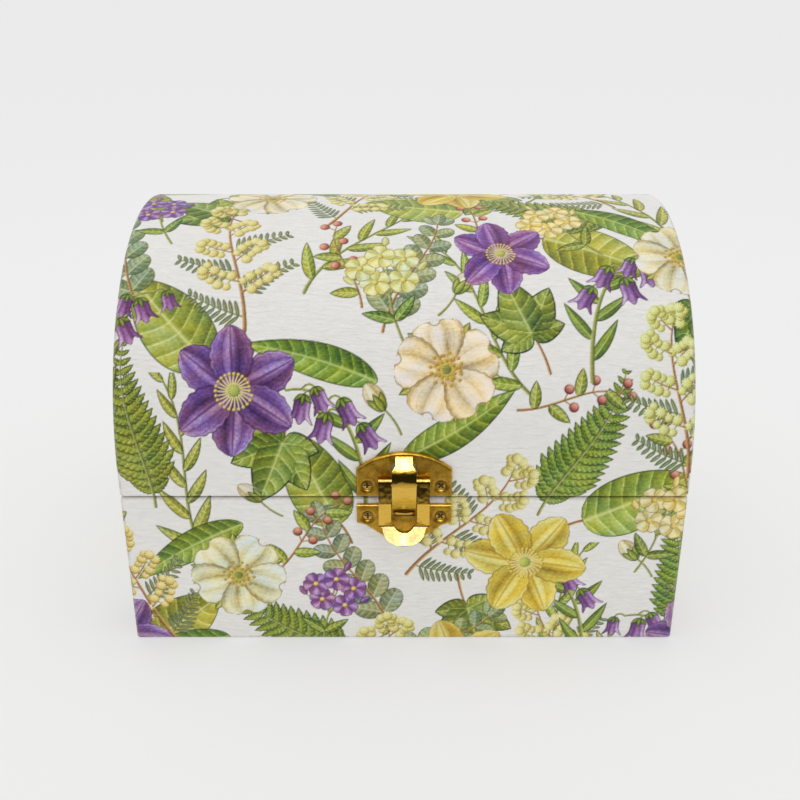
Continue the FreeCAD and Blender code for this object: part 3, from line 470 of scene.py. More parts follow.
def bell(spot, root, turn, length):
    """One hanging bell: a rounded cup that flares to a scalloped mouth, under three sepals."""
    at, along, across = spot.local(root, math.radians(turn), length, length, 0.0)
    share = np.clip(along, 0.0, 1.1)
    cup = np.sqrt(np.clip(1 - (1 - np.minimum(share / 0.34, 1)) ** 2, 0, 1))
    half = length * (0.25 * cup + 0.03 + 0.19 * smooth(0.52, 1.05, share) ** 1.4)
    side = across / half
    mouth = 0.93 + 0.09 * np.cos(side * 6.6) - 0.05 * side ** 2
    room = np.minimum(half - abs(across), np.minimum(along, mouth - along) * length)
    cover = np.clip(room / spot.soft + 0.5, 0.0, 1.0)
    shade = 0.50 + 0.10 * np.cos(side * 9.0) + 0.30 * (share - 0.4) - 0.30 * side
    shade = shade + 0.08 * spot.grain[at] + 0.10 * spot.stroke[at]
    colour = tone(shade, PURPLE) + spot.hue
    line = 0.7 * (1 - smooth(0.1, 0.5, room))
    line = line + 0.5 * np.exp(-((abs(side) - 0.42) / 0.05) ** 2) * smooth(0.3, 0.8, share)
    spot.lay(at, cover, colour + np.minimum(line, 0.8)[:, None] * (np.array(PLUM) - colour))
    for swing in (-48, 48, 0):
        spot.blade(root, turn + swing, length * 0.40, length * 0.17, LEAF, edge=INK)


def bell_spray(spot):
    """An arching stalk with bells that hang from its outer half and narrow leaves on its lower half."""
    path = ((-3, -28), (-8, -2), (-2, 25), (18, 24))
    spots = bezier(path, 11)
    for k, swing in ((1, 58), (2, 140), (3, 40), (4, 150), (5, 30)):
        spot.blade(spots[k], swing, 19 - k, 4.4, LEAF, bend=0.12 if swing < 90 else -0.12, form=(0.5, 0.9),
                   edge=INK, rib=LEAF[4])
    spot.stem(path, 0.85, 0.45, STALK)
    bells = (5, -1, 11.0), (6, 1, 11.5), (7, -1, 11.0), (8, 1, 11.0), (9, -1, 10.0), (10, 1, 9.0)
    for k, face, length in bells:
        drop = spots[k] + (face * 4.4, 0.2)
        spot.stem((spots[k], spots[k] + (face * 2.4, 2.6), drop), 0.42, 0.36, STALK)
        bell(spot, drop, -90 + face * (34 - 2 * k), length)


def mimosa(spot):
    """A forked twig of small round pale yellow heads over feathered leaves."""
    path = ((-2, -30), (3, -10), (-4, 10), (3, 27))
    spots = bezier(path, 13)
    for k, turn in ((1, 148), (3, 28), (5, 158), (7, 18)):
        vein = bezier((spots[k], spots[k] + around(10, turn + 8), spots[k] + around(22, turn - 6)), 10)
        spot.stem((vein[0], vein[5], vein[9]), 0.35, 0.2, STALK)
        for j in range(1, 10):
            for swing in (-58, 58):
                spot.blade(vein[j], turn + swing, 7.0 - 0.45 * j, 1.5, SAGE, form=(0.5, 0.6), edge=SAGE[0])
    spot.stem(path, 0.75, 0.35, TWIG)
    for k, turn in ((3, 35), (4, 150), (6, 35), (7, 148), (9, 38), (10, 140), (12, 62), (12, 118)):
        root, end = spots[k], spots[k] + around(16 - 0.6 * k, turn - 4)
        branch = bezier((root, root + around(7, turn + 12), end), 5)
        spot.stem((branch[0], branch[2], branch[4]), 0.32, 0.24, TWIG)
        for j, place in enumerate(branch[1:]):
            for swing in (-80, 80):
                away = 2.5 + 0.5 * math.sin(5.0 * j + k + swing)
                head = place + around(away, turn + swing)
                spot.stem((place, head), 0.2, 0.2, STALK)
                spot.ball(head, 1.9 + 0.25 * math.sin(3.0 * j + swing), PALE, 0.08)
        spot.ball(branch[4] + around(1.2, turn), 2.2, PALE, 0.08)


def rose(spot):
    """Five broad notched cream petals round a ring of yellow stamens, with the sepals' tips between them."""
    for turn in np.arange(18, 378, 72):
        spot.blade(around(9, turn + 36), turn + 36, 9.5, 4.2, FRESH, edge=INK, rib=FRESH[4])
    for turn in np.arange(18, 378, 72):
        spot.blade(around(0.8, turn), turn + 4 * math.sin(turn), 17.0, 18.5, CREAM, form=(0.75, 0.34),
                   streaks=9.0, edge=UMBER, notch=0.10, wave=0.02, lift=0.35, lit=0.10)
    spot.ball((0, 0), 2.7, (STALK[0], STALK[1], FRESH[3]), 0.1)
    for k, turn in enumerate(np.arange(0, 360, 11.5)):
        tip = around(4.4 + 1.5 * math.sin(k * 2.4), turn)
        spot.stem((around(1.8, turn), around(3, turn + 5), tip), 0.2, 0.16, (YELLOW[1], YELLOW[2], YELLOW[3]))
        spot.ball(tip, 0.62, (YELLOW[0], YELLOW[1], YELLOW[2]))


def fern(spot):
    """A frond: toothed leaflets in pairs that shorten to the tip of a curved stalk."""
    path = ((0, -32), (5, -12), (-3, 12), (6, 33))
    spots = bezier(path, 19)
    lean = leans(spots)
    for k in range(2, 19):
        length = 15.5 * (1 - (k / 18.6) ** 1.6) * smooth(0, 4, k) + 1.4
        for swing in (62, -62):
            spot.blade(spots[k], lean[k] + swing, length, 0.31 * length + 0.9, LEAF,
                       bend=-0.10 * np.sign(swing), form=(0.35, 0.8), veins=7.0, edge=INK, rib=LEAF[3],
                       wave=0.10, lit=0.10)
    spot.stem(path, 0.6, 0.25, STALK)


def round_leaf_twig(spot):
    """A twig with pairs of blunt blue-green leaves."""
    path = ((0, -30), (-5, -10), (5, 10), (-2, 28))
    spots = bezier(path, 8)
    lean = leans(spots)
    for k in range(1, 8):
        for swing in (52, -52):
            spot.blade(spots[k], lean[k] + swing, 13.5 - 0.8 * k, 9.6 - 0.6 * k, SAGE, form=(0.55, 0.5),
                       veins=5.0, edge=SAGE[0], rib=SAGE[4], lift=0.15)
    spot.blade(spots[7], lean[7], 9, 6, SAGE, form=(0.55, 0.6), veins=4.0, edge=SAGE[0], rib=SAGE[4])
    spot.stem(path, 0.6, 0.3, TWIG)


def lobed_leaf(spot):
    """A broad leaf of five pointed lobes that share one stalk."""
    lobes = ((0, 25, 15), (46, 20, 12.5), (-46, 20, 12.5), (98, 13, 9.5), (-98, 13, 9.5))
    spot.stem(((0, -17), (1.5, -8), (0, 0)), 0.55, 0.4, TWIG)
    for turn, length, width in lobes:
        spot.blade((0, 0), 90 + turn, length + 0.5, width + 1.0, (INK, INK), form=(0.42, 0.85))
    for turn, length, width in lobes[::-1]:
        spot.blade((0, 0), 90 + turn, length, width, LEAF, form=(0.42, 0.85), veins=5.0, rib=LEAF[4],
                   lift=0.1)


def long_leaf(spot):
    """One long curved leaf with a pale middle rib."""
    spot.blade((0, -25), 90, 50, 13.5, LEAF, bend=0.14, form=(0.6, 0.95), veins=11.0, edge=INK, rib=LEAF[4],
               lift=0.1)


def broad_leaf(spot):
    """One broad fresh-green leaf on a brown stalk."""
    spot.stem(((0, -27), (1, -22), (0, -17)), 0.6, 0.5, TWIG)
    spot.blade((0, -18), 90, 40, 23, FRESH, bend=-0.08, form=(0.48, 0.72), veins=8.0, edge=INK, rib=FRESH[4])


def berry_twig(spot):
    """A fine brown twig with round berries and small leaves."""
    path = ((0, -20), (4, -6), (-3, 8), (4, 19))
    spots = bezier(path, 8)
    spot.stem(path, 0.5, 0.28, TWIG)
    for k, turn in ((1, 155), (2, 30), (4, 150), (6, 28)):
        spot.blade(spots[k], turn, 10.5, 4.6, FRESH, bend=0.08, form=(0.5, 0.8), veins=5.0, edge=INK,
                   rib=FRESH[4])
    for k, turn in ((3, 40), (3, 140), (5, 35), (5, 150), (7, 60), (7, 130)):
        place = spots[k] + around(4.6, turn)
        spot.stem((spots[k], (spots[k] + place) / 2, place), 0.25, 0.22, TWIG)
        spot.ball(place, 1.9, BERRY)


def bud(spot):
    """A closed cream bud in its green cup, on a short stalk."""
    spot.stem(((0, -14), (1.5, -8), (0, -3)), 0.45, 0.4, STALK)
    spot.blade((0, -3), 90, 10.5, 7.0, CREAM, form=(0.5, 0.6), streaks=6.0, edge=UMBER)
    for swing in (-24, 24, 0):
        spot.blade((0, -4), 90 + swing, 7.0, 2.8, FRESH, edge=INK)


def leafy_stem(spot):
    """A long bent stem with narrow leaves on alternate sides."""
    path = ((0, -38), (-9, -14), (9, 12), (0, 38))
    spots = bezier(path, 12)
    lean = leans(spots)
    spot.stem(path, 0.75, 0.4, STALK)
    for k in range(1, 12):
        side = 1 if k % 2 else -1
        spot.blade(spots[k], lean[k] + side * (48 - 2 * k), 20 - 0.8 * k, 5.4 - 0.2 * k, FRESH,
                   bend=-0.14 * side, form=(0.5, 0.85), veins=7.0, edge=INK, rib=FRESH[4], lift=0.15)


def blossom_sprig(spot, petals=PURPLE, line=PLUM):
    """Small blossoms and buds in a loose head on forked stalks."""
    tops = ((0, 15), (-8, 11), (8, 12), (-4, 4), (6, 3))
    spot.stem(((1, -20), (-1, -10), (0, -2)), 0.5, 0.4, STALK)
    for turn, length in ((150, 12), (38, 12)):
        spot.blade((0, -12), turn, length, 4.4, LEAF, bend=0.1, form=(0.5, 0.85), veins=5.0, edge=INK,
                   rib=LEAF[4])
    for top in tops:
        spot.stem(((0, -3), (top[0] * 0.3, top[1] * 0.5), top), 0.35, 0.3, STALK)
    for top in ((-11, 5), (12, 6), (3, 20)):
        spot.stem(((0, -2), (top[0] * 0.4, top[1] * 0.5), top), 0.3, 0.25, STALK)
        spot.blade(top, 90 - 4 * top[0], 5.0, 2.8, petals, form=(0.5, 0.6), edge=line)
    for k, top in enumerate(tops[::-1]):
        blossom(spot, top, 20.0 * k, petals[1:], line)


def yellow_sprig(spot):
    """The blossom sprig in pale yellow."""
    blossom_sprig(spot, PALE, UMBER)


def blossom(spot, middle, start, petals, line):
    """Five round petals with a yellow eye."""
    for turn in np.arange(start, start + 360, 72):
        spot.blade(middle, turn, 5.6, 5.4, petals, form=(0.7, 0.35), streaks=5.0, edge=line, lift=0.35)
    spot.ball(middle, 1.1, YELLOW)


# Each motif's place across and up the sheet, its turn, its size and the side it faces
LAYOUT = (
    (leafy_stem, -84, 74, 10, 1.0, 1), (leafy_stem, 62, 6, -14, 0.95, -1),
    (leafy_stem, 30, 138, 30, 1.0, 1), (leafy_stem, -14, 176, -40, 1.0, 1),
    (leafy_stem, 96, 200, 18, 1.0, -1), (leafy_stem, -44, 224, -70, 1.0, 1),
    (broad_leaf, -88, 132, 46, 1.15, 1), (broad_leaf, 88, 62, -68, 1.1, -1),
    (broad_leaf, -34, 70, 28, 1.05, 1), (broad_leaf, 6, 198, 80, 1.05, 1),
    (broad_leaf, 74, 168, -110, 1.1, 1), (broad_leaf, -92, 6, -60, 1.0, -1),
    (broad_leaf, -112, 210, 30, 1.0, 1), (lobed_leaf, -46, 88, 158, 1.05, 1),
    (lobed_leaf, 48, 130, 24, 1.0, 1), (lobed_leaf, 26, 14, -165, 1.0, 1),
    (lobed_leaf, -74, 192, 60, 1.0, -1), (lobed_leaf, 112, 140, 200, 0.95, 1),
    (lobed_leaf, 38, 214, 150, 1.0, 1), (fern, -104, 92, 14, 1.0, 1), (fern, 70, 84, -34, 1.0, -1),
    (fern, 58, 196, 66, 1.0, -1), (fern, -46, 2, 58, 1.0, 1), (fern, 112, 30, 8, 0.95, -1),
    (round_leaf_twig, 4, 158, -24, 1.0, 1), (round_leaf_twig, -20, 30, 30, 1.0, -1),
    (round_leaf_twig, -110, 168, 18, 1.0, 1), (round_leaf_twig, 12, 232, -62, 0.95, 1),
    (long_leaf, -34, 122, 66, 1.05, 1), (long_leaf, 92, 184, -118, 1.0, -1),
    (long_leaf, -86, 44, 112, 1.0, 1), (long_leaf, 22, 92, -66, 1.0, 1), (long_leaf, -96, 232, 100, 1.0, 1),
    (berry_twig, -24, 160, 22, 1.05, 1), (berry_twig, 108, 76, 20, 1.0, -1),
    (berry_twig, -40, 48, -34, 1.0, 1), (berry_twig, 62, 106, -75, 1.0, 1),
    (berry_twig, 30, 188, 10, 1.0, -1), (berry_twig, -118, 60, 6, 1.0, 1), (bud, 22, 150, -35, 1.1, 1),
    (bud, -10, 104, 35, 1.1, 1), (bud, 90, 40, 40, 1.0, 1), (bud, -58, 66, 50, 1.0, -1),
    (mimosa, -66, 162, 14, 1.05, 1), (mimosa, 22, 52, -48, 1.0, -1), (mimosa, 104, 104, 12, 1.0, 1),
    (mimosa, -106, 24, 24, 1.0, -1), (mimosa, 70, 224, 40, 1.0, 1), (mimosa, -18, 212, -20, 1.0, 1),
    (yellow_sprig, -6, 148, 12, 1.1, 1), (yellow_sprig, 100, 50, -20, 1.0, -1),
    (blossom_sprig, -30, 14, -12, 0.95, 1), (blossom_sprig, -100, 190, 20, 1.0, 1),
    (yellow_sprig, 64, 180, 40, 1.0, 1), (bell_spray, -22, 86, 8, 1.05, -1),
    (bell_spray, 78, 140, -8, 1.05, 1), (bell_spray, 66, 14, 10, 1.0, -1),
    (bell_spray, -112, 122, 4, 1.0, 1), (bell_spray, 112, 226, 10, 1.0, -1), (rose, 16, 116, 10, 1.1, 1),
    (rose, -66, 30, 40, 1.05, 1), (rose, 108, 164, 20, 1.0, 1), (rose, -56, 212, 0, 1.05, 1),
    (star_flower, -64, 108, 0, 1.08, 1), (yellow_star, 48, 36, 25, 1.05, 1),
    (star_flower, 38, 166, 10, 0.85, 1), (yellow_star, 22, 222, 15, 1.0, 1),
    (star_flower, -116, 236, 30, 0.9, 1),
)


def printed(across, up):
    """Colours of the print at places across and up the sheet, as screen values."""
    sheet = PrintedSheet(across, up)
    for motif, u, v, turn, size, flip in LAYOUT:
        motif(Spot(sheet, (u, v), math.radians(turn), size, flip))
    return np.clip(sheet.colour, 0.0, 1.0).reshape(*across.shape, 3)


def linear(colour):
    """Screen colour values as light values."""
    return np.where(colour <= 0.04045, colour / 12.92, ((colour + 0.055) / 1.055) ** 2.4)


# Paper skins

FIELD_KINDS = {1: ("FLOAT", "value"), 3: ("FLOAT_VECTOR", "vector"), 4: ("FLOAT_COLOR", "color")}
BAND_POINTS = 90000

# Distances between points on the front's skins, on the other skins and along folded rims, in millimetres
FINE = 0.36
COARSE = 0.50
FOLD_SPACING = 0.8

# Steps round a corner, rows up a lid end's face and columns across it, from edge to edge as turns
CORNER_STEPS = 8
END_ROWS = 140
END_TURN = np.radians(np.linspace(-90, 90, 320))

# Each long side's name, the way it faces, its spacing and how far up over the crown its lid skin leans
LONG_SIDES = (("front", -1.0, FINE, 104), ("back", 1.0, COARSE, 76))
ENDS = (("left", -1.0), ("right", 1.0))
UNDER_FOLD = np.array([(0.5, 0.0, 3.0), (0.5, 0.0, BASE_LOW[2]), (0.1, 0.0, BASE_LOW[2])])
paper_finish = cover_paper()


def grid_piece(name, places, finish, **fields):
    """A smooth mesh on a grid of places in millimetres, with named fields of numbers on its points."""
    rows, columns = places.shape[:2]
    index = np.arange(rows * columns).reshape(rows, columns)
    quads = np.stack((index[:-1, :-1], index[:-1, 1:], index[1:, 1:], index[1:, :-1]), -1).reshape(-1, 4)
    mesh = bpy.data.meshes.new(name)
    mesh.vertices.add(rows * columns)
    mesh.vertices.foreach_set("co", (places * MM).astype(np.float32).ravel())
    mesh.loops.add(quads.size)
    mesh.loops.foreach_set("vertex_index", quads.astype(np.int32).ravel())
    mesh.polygons.add(len(quads))
    mesh.polygons.foreach_set("loop_start", np.arange(0, quads.size, 4, dtype=np.int32))
    mesh.update(calc_edges=True)
    mesh.shade_smooth()
    flat = np.stack(np.meshgrid(np.linspace(0, 1, columns), np.linspace(0, 1, rows)), -1).reshape(-1, 2)
    mesh.uv_layers.new(name="OFBake").data.foreach_set("uv", flat[quads.ravel()].astype(np.float32).ravel())
    for label, numbers in fields.items():
        kind, member = FIELD_KINDS[numbers.shape[-1]]
        field = mesh.attributes.new(label, kind, "POINT")
        field.data.foreach_set(member, numbers.astype(np.float32).ravel())
    mesh.materials.append(finish)
    piece = bpy.data.objects.new(name, mesh)
    scene.collection.objects.link(piece)
    return piece


def steps(start, stop, spacing):
    """Evenly spaced numbers from start to stop, about a spacing apart."""
    return np.linspace(start, stop, max(2, int(round(abs(stop - start) / spacing)) + 1))


def across_stations(spacing):
    """Columns of a long side: a quarter round at each end and the straight run between, as (x, turn)."""
    turn = np.radians(np.linspace(0, 90, CORNER_STEPS + 1))
    straight = steps(-HALF_WIDTH + CORNER, HALF_WIDTH - CORNER, spacing)
    x = np.concatenate((np.full(CORNER_STEPS, straight[0]), straight, np.full(CORNER_STEPS, straight[-1])))
    return x, np.concatenate((-turn[:0:-1], np.zeros(len(straight)), turn[1:]))


def long_side(rows, spacing, face, mitre=1.0):
    """A long side of the cover, and how far across the sheet its columns lie. Each row is (inset, lean,
    level): the point lies at the half depth less its inset, along a ray that leans up from the side's face,
    above a level. Columns go round both corners. A mitre is the share of a row's inset by which the row is
    drawn in from the ends."""
    inset, lean, level = (r[:, None] for r in rows.T)
    x, turn = across_stations(spacing)
    corner = np.maximum(CORNER - inset, 0.0)
    inner = HALF_WIDTH - np.maximum(inset * mitre, CORNER)
    ray = HALF_DEPTH - inset - corner * (1 - np.cos(turn))
    width = x / (HALF_WIDTH - CORNER) * inner + corner * np.sin(turn)
    places = np.stack((width * -face, face * ray * np.cos(lean), level + ray * np.sin(lean)), -1)
    across = x + CORNER * turn
    return places, across * -face


def end_side(rows, share, face, mitre=1.0):
    """An end of the cover: each row of (inset, lean, level) lies at the half width less its inset, and its
    columns at shares of the half depth. A mitre is as for a long side."""
    inset, _, level = (r[:, None] for r in rows.T)
    depth = share * (HALF_DEPTH - np.maximum(inset * mitre, CORNER))
    return np.stack(np.broadcast_arrays((HALF_WIDTH - inset) * face, depth * face, level), -1)


def end_across(places, face):
    """How far across the sheet an end's places lie, as the sheet goes round from the front."""
    return face * (HALF_WIDTH + HALF_DEPTH + places[..., 1])


def refined(line, spacing):
    """The points of a line, with more between any that lie farther apart than the spacing."""
    counts = np.ceil(np.hypot(*np.diff(line, axis=0).T) / spacing).astype(int)
    runs = [np.linspace(a, b, count, endpoint=False) for a, b, count in zip(line, line[1:], counts)]
    return np.concatenate((*runs, line[-1:]))


def fold(level, rim, turn_in, way):
    """Rows of a folded rim from the edge turned in behind it to the outer face, as (inset, lean, level). The
    way from the rim's edge to the rest of the sheet is 1 for up and -1 for down."""
    behind = [(rim + 0.5, turn_in), (rim, turn_in), (rim, 4.0), (rim, 0.4), (rim - 0.12, 0.12),
              (rim - 0.4, 0.0), (rim - 2.0, 0.0), (rim - 4.0, 0.0)]
    round_off = np.radians(np.linspace(90, 0, 7))
    rounded = RIM_ROUND * (1 - np.stack((np.cos(round_off), np.sin(round_off)), -1))
    inset, height = np.concatenate((behind, rounded)).T
    inset, z = refined(np.stack((inset, level + way * height), -1), FOLD_SPACING).T
    return np.stack(np.broadcast_arrays(inset, 0.0, z), -1)


def lid_rows(lean_to, spacing):
    """Rows of the lid's round from its spring line to a lean in degrees."""
    lean = steps(0.0, math.radians(lean_to), spacing / HALF_DEPTH)
    return np.stack(np.broadcast_arrays(0.0, lean, SPRING), -1)


def upright_rows(low, high, spacing):
    """Rows of a straight wall between two levels."""
    return np.stack(np.broadcast_arrays(0.0, 0.0, steps(low, high, spacing)), -1)


def run_length(rows, start):
    """How far each row lies from the row numbered start, along the profile of the sheet."""
    inset, lean, level = rows.T
    ray = HALF_DEPTH - inset
    y, z = -ray * np.cos(lean), level + ray * np.sin(lean)
    run = np.concatenate(([0.0], np.cumsum(np.hypot(np.diff(y), np.diff(z)))))
    return run - run[start]


def scuffed(colours, places):
    """Colours with the wear of the corners, the rims and the foot: patches where grey board dust shows."""
    x, y, z = (abs(axis) for axis in np.moveaxis(places, -1, 0))
    outward = np.where(z > SPRING, np.hypot(y, z - SPRING), y)
    corner = smooth(HALF_WIDTH - 1.8, HALF_WIDTH - 0.5, x)
    corner = corner * smooth(HALF_DEPTH - 1.8, HALF_DEPTH - 0.5, outward)
    rim = 1 - smooth(0.3, 1.5, np.minimum(z, abs(z - (BASE_RIM + LID_FOOT) / 2)))
    patch = bent_wave(x, z, 0.9, 2.1, 0.37) * bent_wave(z, y, 0.8, 1.7, 0.41) * np.sin(0.7 * y + x)
    wear = (0.55 * corner + 0.35 * rim) * (0.35 + 0.65 * smooth(-0.25, 0.35, patch))
    return colours + wear[..., None] * (DUST - colours)


def skin(name, places, across, up, body, node):
    """Prints a grid of places, cuts it into bands of rows that share their border row, and lays each band
    on its body in place of the plain cover."""
    across, up = np.broadcast_arrays(across, up)
    rows, columns = up.shape
    colours = linear(scuffed(printed(across, up), places))
    spots = np.dstack((across, up, np.zeros(up.shape)))
    inks = np.dstack((colours, np.ones(up.shape)))
    share = max(2, BAND_POINTS // columns)
    for k, start in enumerate(range(0, rows - 1, share), start=1):
        band = slice(start, min(start + share, rows - 1) + 1)
        piece = grid_piece(f"{name}_{k}", places[band], paper_finish,
                           paper_place=spots[band], print_colour=inks[band])
        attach(piece, body)
        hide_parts(node)


# Lid: from the front's turned-in edge over the crown to the back's, and the half-round ends

lid_fold = fold(LID_FOOT, LID_RIM_WIDTH, LID_TURN_IN, 1.0)
end_fold = fold(LID_FOOT, END_RIM_WIDTH, LID_TURN_IN, 1.0)
over_crown = 2 * (SPRING + HALF_DEPTH * math.pi / 2)
for side, face, spacing, lean_to in LONG_SIDES:
    rim = upright_rows(LID_FOOT + RIM_ROUND, SPRING, spacing)
    rows = np.concatenate((lid_fold[:-1], rim[:-1], lid_rows(lean_to, spacing)))
    places, across = long_side(rows, spacing, face, END_RIM_WIDTH / LID_RIM_WIDTH)
    up = run_length(rows, len(lid_fold) - 1) + LID_FOOT + RIM_ROUND
    up = over_crown - up if side == "back" else up
    skin(f"lid_{side}_paper", places, across, up[:, None], "lid", "lid_paper_cover")


def lid_end(face):
    """An end of the lid's cover: its folded rim, and above it a face that goes on up to the round's edge."""
    folded = end_side(end_fold, np.sin(END_TURN), face, LID_RIM_WIDTH / END_RIM_WIDTH)
    x, depth, foot = folded[-1].T
    top = SPRING + (HALF_DEPTH - CORNER) * np.cos(END_TURN)
    rise = foot + steps(0.0, 1.0, 1 / END_ROWS)[1:, None] * (top - foot)
    return np.concatenate((folded, np.stack(np.broadcast_arrays(x, depth, rise), -1)))


for side, face in ENDS:
    places = lid_end(face)
    up = places[..., 2].copy()
    up[:len(end_fold)] = (run_length(end_fold, -1) + LID_FOOT + RIM_ROUND)[:, None]
    skin(f"lid_{side}_paper", places, end_across(places, face), up, "lid", "lid_paper_cover")

# Base: one sheet round the four sides, from under the box to inside its rim

base_fold = fold(BASE_RIM, END_RIM_WIDTH, BASE_TURN_IN, -1.0)


def base_rows(spacing):
    """Rows of the base's cover from under the box to inside its rim, and how far up the sheet they lie."""
    wall = upright_rows(BASE_LOW[2], BASE_RIM - RIM_ROUND, spacing)
    rows = np.concatenate((UNDER_FOLD, wall[:-1], base_fold[::-1]))
    return rows, run_length(rows, len(UNDER_FOLD))[:, None]


for side, face, spacing, _ in LONG_SIDES:
    rows, up = base_rows(spacing)
    places, across = long_side(rows, spacing, face)
    across = 2 * (HALF_WIDTH + HALF_DEPTH) - across if side == "back" else across
    skin(f"base_{side}_paper", places, across, up, "base", "base_paper_cover")

for side, face in ENDS:
    rows, up = base_rows(COARSE)
    places = end_side(rows, steps(-1.0, 1.0, COARSE / HALF_DEPTH), face)
    skin(f"base_{side}_paper", places, end_across(places, face), up, "base", "base_paper_cover")


# Screws: oval heads with a pressed cross

HEAD_POINTS = 61
HEAD_REACH = 1.2
SCREW_GAP = 1.0


def screw_middles(node):
    """Places across of a node's screws: its points fall into groups with clear gaps between them."""
    points = np.empty(3 * len(frame["nodes"][node].data.vertices), np.float32)
    frame["nodes"][node].data.vertices.foreach_get("co", points)
    x = np.sort(points[::3]) / MM
    groups = np.split(x, np.nonzero(np.diff(x) > SCREW_GAP)[0] + 1)
    return [(group[0] + group[-1]) / 2 for group in groups]


def oval_head(middle, radius, face, dome_rise, outward, turn):
    """A screw's head from its pressed cross over its low dome, down the cone below its rim, and the painted
    shade and grime in the cross and at the rim. A square grid is drawn in to a disc; the dome falls with the
    square of the distance from the axis, and beyond the rim the distance shrinks again while the depth grows."""
    u, v = np.meshgrid(*[np.linspace(-HEAD_REACH, HEAD_REACH, HEAD_POINTS)] * 2)
    x, z = (p * np.sqrt(1 - (q / HEAD_REACH) ** 2 / 2) for p, q in ((u, v), (v, u)))
    away = np.hypot(x, z)
    on_head, below = np.minimum(away, 1.0), np.maximum(away - 1, 0.0)
    reach = radius * (on_head - 2.4 * below) / np.maximum(away, 1e-9)
    a, b = x * math.cos(turn) + z * math.sin(turn), z * math.cos(turn) - x * math.sin(turn)
    cross = np.maximum(*(smooth(0.0, 0.13, 0.235 - abs(p)) * smooth(0.0, 0.18, 0.8 - abs(q))
                         for p, q in ((a, b), (b, a))))
    rise = dome_rise * (1 - on_head ** 2) - radius * cross * (0.26 - 0.1 * on_head) - 2.5 * radius * below
    places = np.stack((middle[0] - outward * x * reach, face + outward * rise, middle[1] + z * reach), -1)
    # The second value darkens the pressed cross and a ring at and below the rim: painted shade, with grime
    return places, np.maximum(0.85 * cross, 0.6 * smooth(0.90, 1.0, away))[..., None]


# Each node of screws with its body, the way its heads face, their domes' rise and how deep they are sunk
SCREWS = (
    ("hasp_plate_screws", "lid", -1, 0.40, 0.35), ("catch_plate_screws", "base", -1, 0.40, 0.35),
    ("hinge_lid_screws", "lid", 1, 0.30, 0.12), ("hinge_base_screws", "base", 1, 0.30, 0.12),
)
screw_finish = brass("screw_brass", SCREW_COLOUR)
metal_pieces = []
for node, body, outward, dome_rise, sunk in SCREWS:
    low, high = span(node)
    mouth_radius = (high[2] - low[2]) / 2
    face = (high if outward > 0 else low)[1] - outward * sunk
    for k, across in enumerate(screw_middles(node), start=1):
        middle = across, (low[2] + high[2]) / 2
        turn = 0.8 * k + mouth_radius
        places, grime = oval_head(middle, mouth_radius - sunk, face, dome_rise, outward, turn)
        # Each head carries its painted shade and grime as a field on its points
        piece = grid_piece(f"{node}_{k}", places, screw_finish, grime=grime)
        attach(piece, body)
        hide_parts(node)
        metal_pieces.append(piece)


# Looks of the solids that show, by slot, and of two latch pieces by name

finishes = {
    "board": board(),
    "bottom_paper": plain_paper(),
    "latch_brass": brass("latch_brass", LATCH_COLOUR),
    "hinge_brass": brass("hinge_brass", HINGE_COLOUR),
    "screw_brass": screw_finish,
}
own_finishes = {
    "hasp_plate": brass("strap_brass", LATCH_COLOUR, crown=0.0006, bow=28.0, bow_from=0.0715),
    "hasp": brass("hasp_brass", LATCH_COLOUR, crown=0.0028, crown_width=0.012),
}
for entry in frame["record"]["subparts"]:
    node, slot = entry["node"], entry["material_slot"]
    solid = frame["nodes"][node]
    if slot in finishes:
        solid.data.materials.clear()
        solid.data.materials.append(own_finishes.get(node, finishes[slot]))
    if slot.endswith("_brass"):
        metal_pieces.append(solid)

# Stage

FLOOR_REACH = 40000.0
FLOOR_DROP = 0.2


def stage_sheet(name, places, finish):
    """A sheet of the stage on a grid of places in millimetres."""
    piece = grid_piece(name, places, finish)
    return piece


def floor():
    """A wide pale floor just under the chest, which glows a little so that it runs into the background."""
    finish = Finish("floor")
    pale = finish.surface(Base_Color=(0.45, 0.45, 0.45, 1.0), Roughness=0.9, Specular_IOR_Level=0.0,
                          Emission_Color=(1.0, 1.0, 1.0, 1.0), Emission_Strength=0.45)
    x, y = np.meshgrid((-FLOOR_REACH, FLOOR_REACH), (-FLOOR_REACH, FLOOR_REACH))
    stage_sheet("floor", np.stack((x, y, np.full(x.shape, -FLOOR_DROP)), -1), pale)


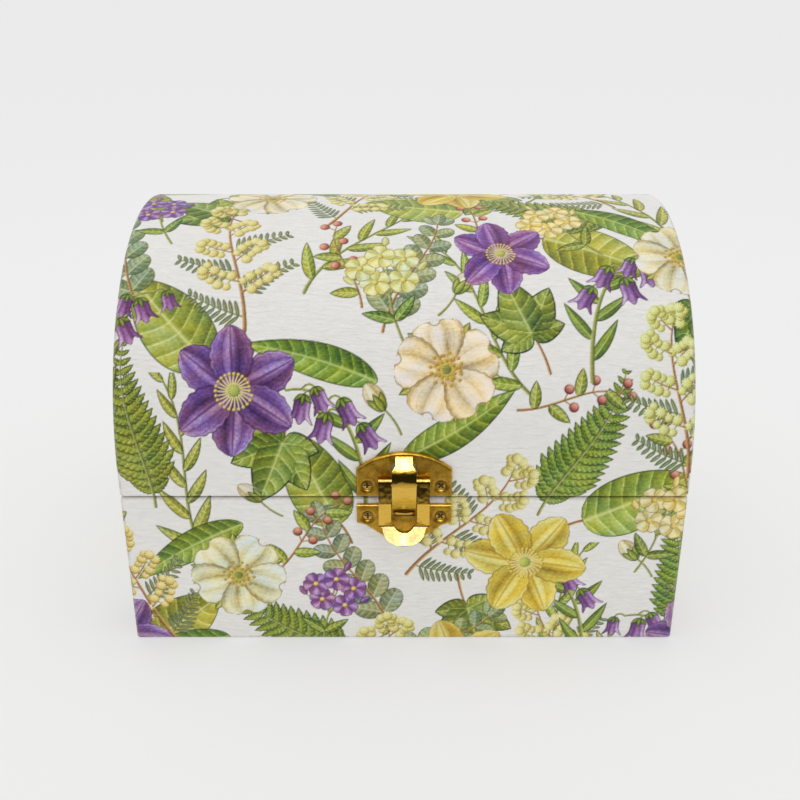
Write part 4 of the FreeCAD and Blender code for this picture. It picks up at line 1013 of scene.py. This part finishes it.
def dark_screen():
    """A screen round the front, seen only in reflections: a bowl that leaves the floor in front of the chest,
    rises away from it and darkens with the distance."""
    finish = Finish("dark_screen")
    glow = finish.node("ShaderNodeMapRange", {}, {
        "Value": finish.along("Y"), "From Min": -0.34, "From Max": -0.15, "To Min": 0.02, "To Max": 0.75})
    dark = finish.surface(Base_Color=(0.0, 0.0, 0.0, 1.0), Roughness=1.0, Specular_IOR_Level=0.0,
                          Emission_Color=glow, Emission_Strength=1.0)
    turn, rise = np.meshgrid(np.radians(np.linspace(-115, 115, 40)), np.linspace(0.0, 1.0, 20))
    reach = 150 + 550 * np.sin(np.minimum(rise * 2.5, 1) * math.pi / 2)
    height = 2 + 950 * np.maximum(rise - 0.3, 0)
    places = np.stack((reach * np.sin(turn), -reach * np.cos(turn), height), -1)
    screen = stage_sheet("dark_screen", places, dark)
    screen.visible_camera = False
    screen.visible_diffuse = False
    screen.visible_shadow = False
    screen.visible_transmission = False


def softbox(name, place, aim, size, power):
    """An oblong area light at a place, turned to an aim, with places in metres and power in watts."""
    light = bpy.data.lights.new(name, "AREA")
    light.shape = "RECTANGLE"
    light.size, light.size_y = size
    light.energy = power
    lamp = bpy.data.objects.new(name, light)
    lamp.location = place
    direction = np.array(aim) - np.array(place)
    lamp.rotation_euler = (
        math.atan2(math.hypot(direction[0], direction[1]), -direction[2]), 0.0,
        math.atan2(direction[1], direction[0]) - math.pi / 2)
    scene.collection.objects.link(lamp)
    return lamp


floor()
dark_screen()
softbox("overhead", place=(0.0, 0.0, 1.2), aim=(0.0, 0.0, 0.1), size=(0.9, 0.9), power=1.6)
glint = softbox("glint", place=(0.0, -0.45, 1.1), aim=(0.0, -0.09, 0.07), size=(0.26, 0.6), power=6.0)
glint.data.cycles.max_bounces = 0
glint.visible_diffuse = False
metal_parts = bpy.data.collections.new("metal_parts")
for piece in metal_pieces:
    metal_parts.objects.link(piece)
glint.light_linking.receiver_collection = metal_parts
world = bpy.data.worlds.new("studio")
world.use_nodes = True
background = world.node_tree.nodes["Background"]
background.inputs["Color"].default_value = (1.0, 1.0, 1.0, 1.0)
background.inputs["Strength"].default_value = 0.84
scene.world = world
scene.view_settings.view_transform = "Standard"

# Camera, as the photograph's corners place it: its look down, and its distance from a point on the front

DOWN = math.radians(23.13)
STAND_OFF = 369.88
AIM = np.array((-1.57, -HALF_DEPTH, 106.23))
camera_data = bpy.data.cameras.new("camera")
camera_data.sensor_width = 36.0
camera_data.lens = 45.0
camera = bpy.data.objects.new("camera", camera_data)
camera.location = (AIM + STAND_OFF * np.array((0.0, -math.cos(DOWN), math.sin(DOWN)))) * MM
camera.rotation_euler = (math.pi / 2 - DOWN, 0.0, 0.0)
scene.collection.objects.link(camera)
scene.camera = camera
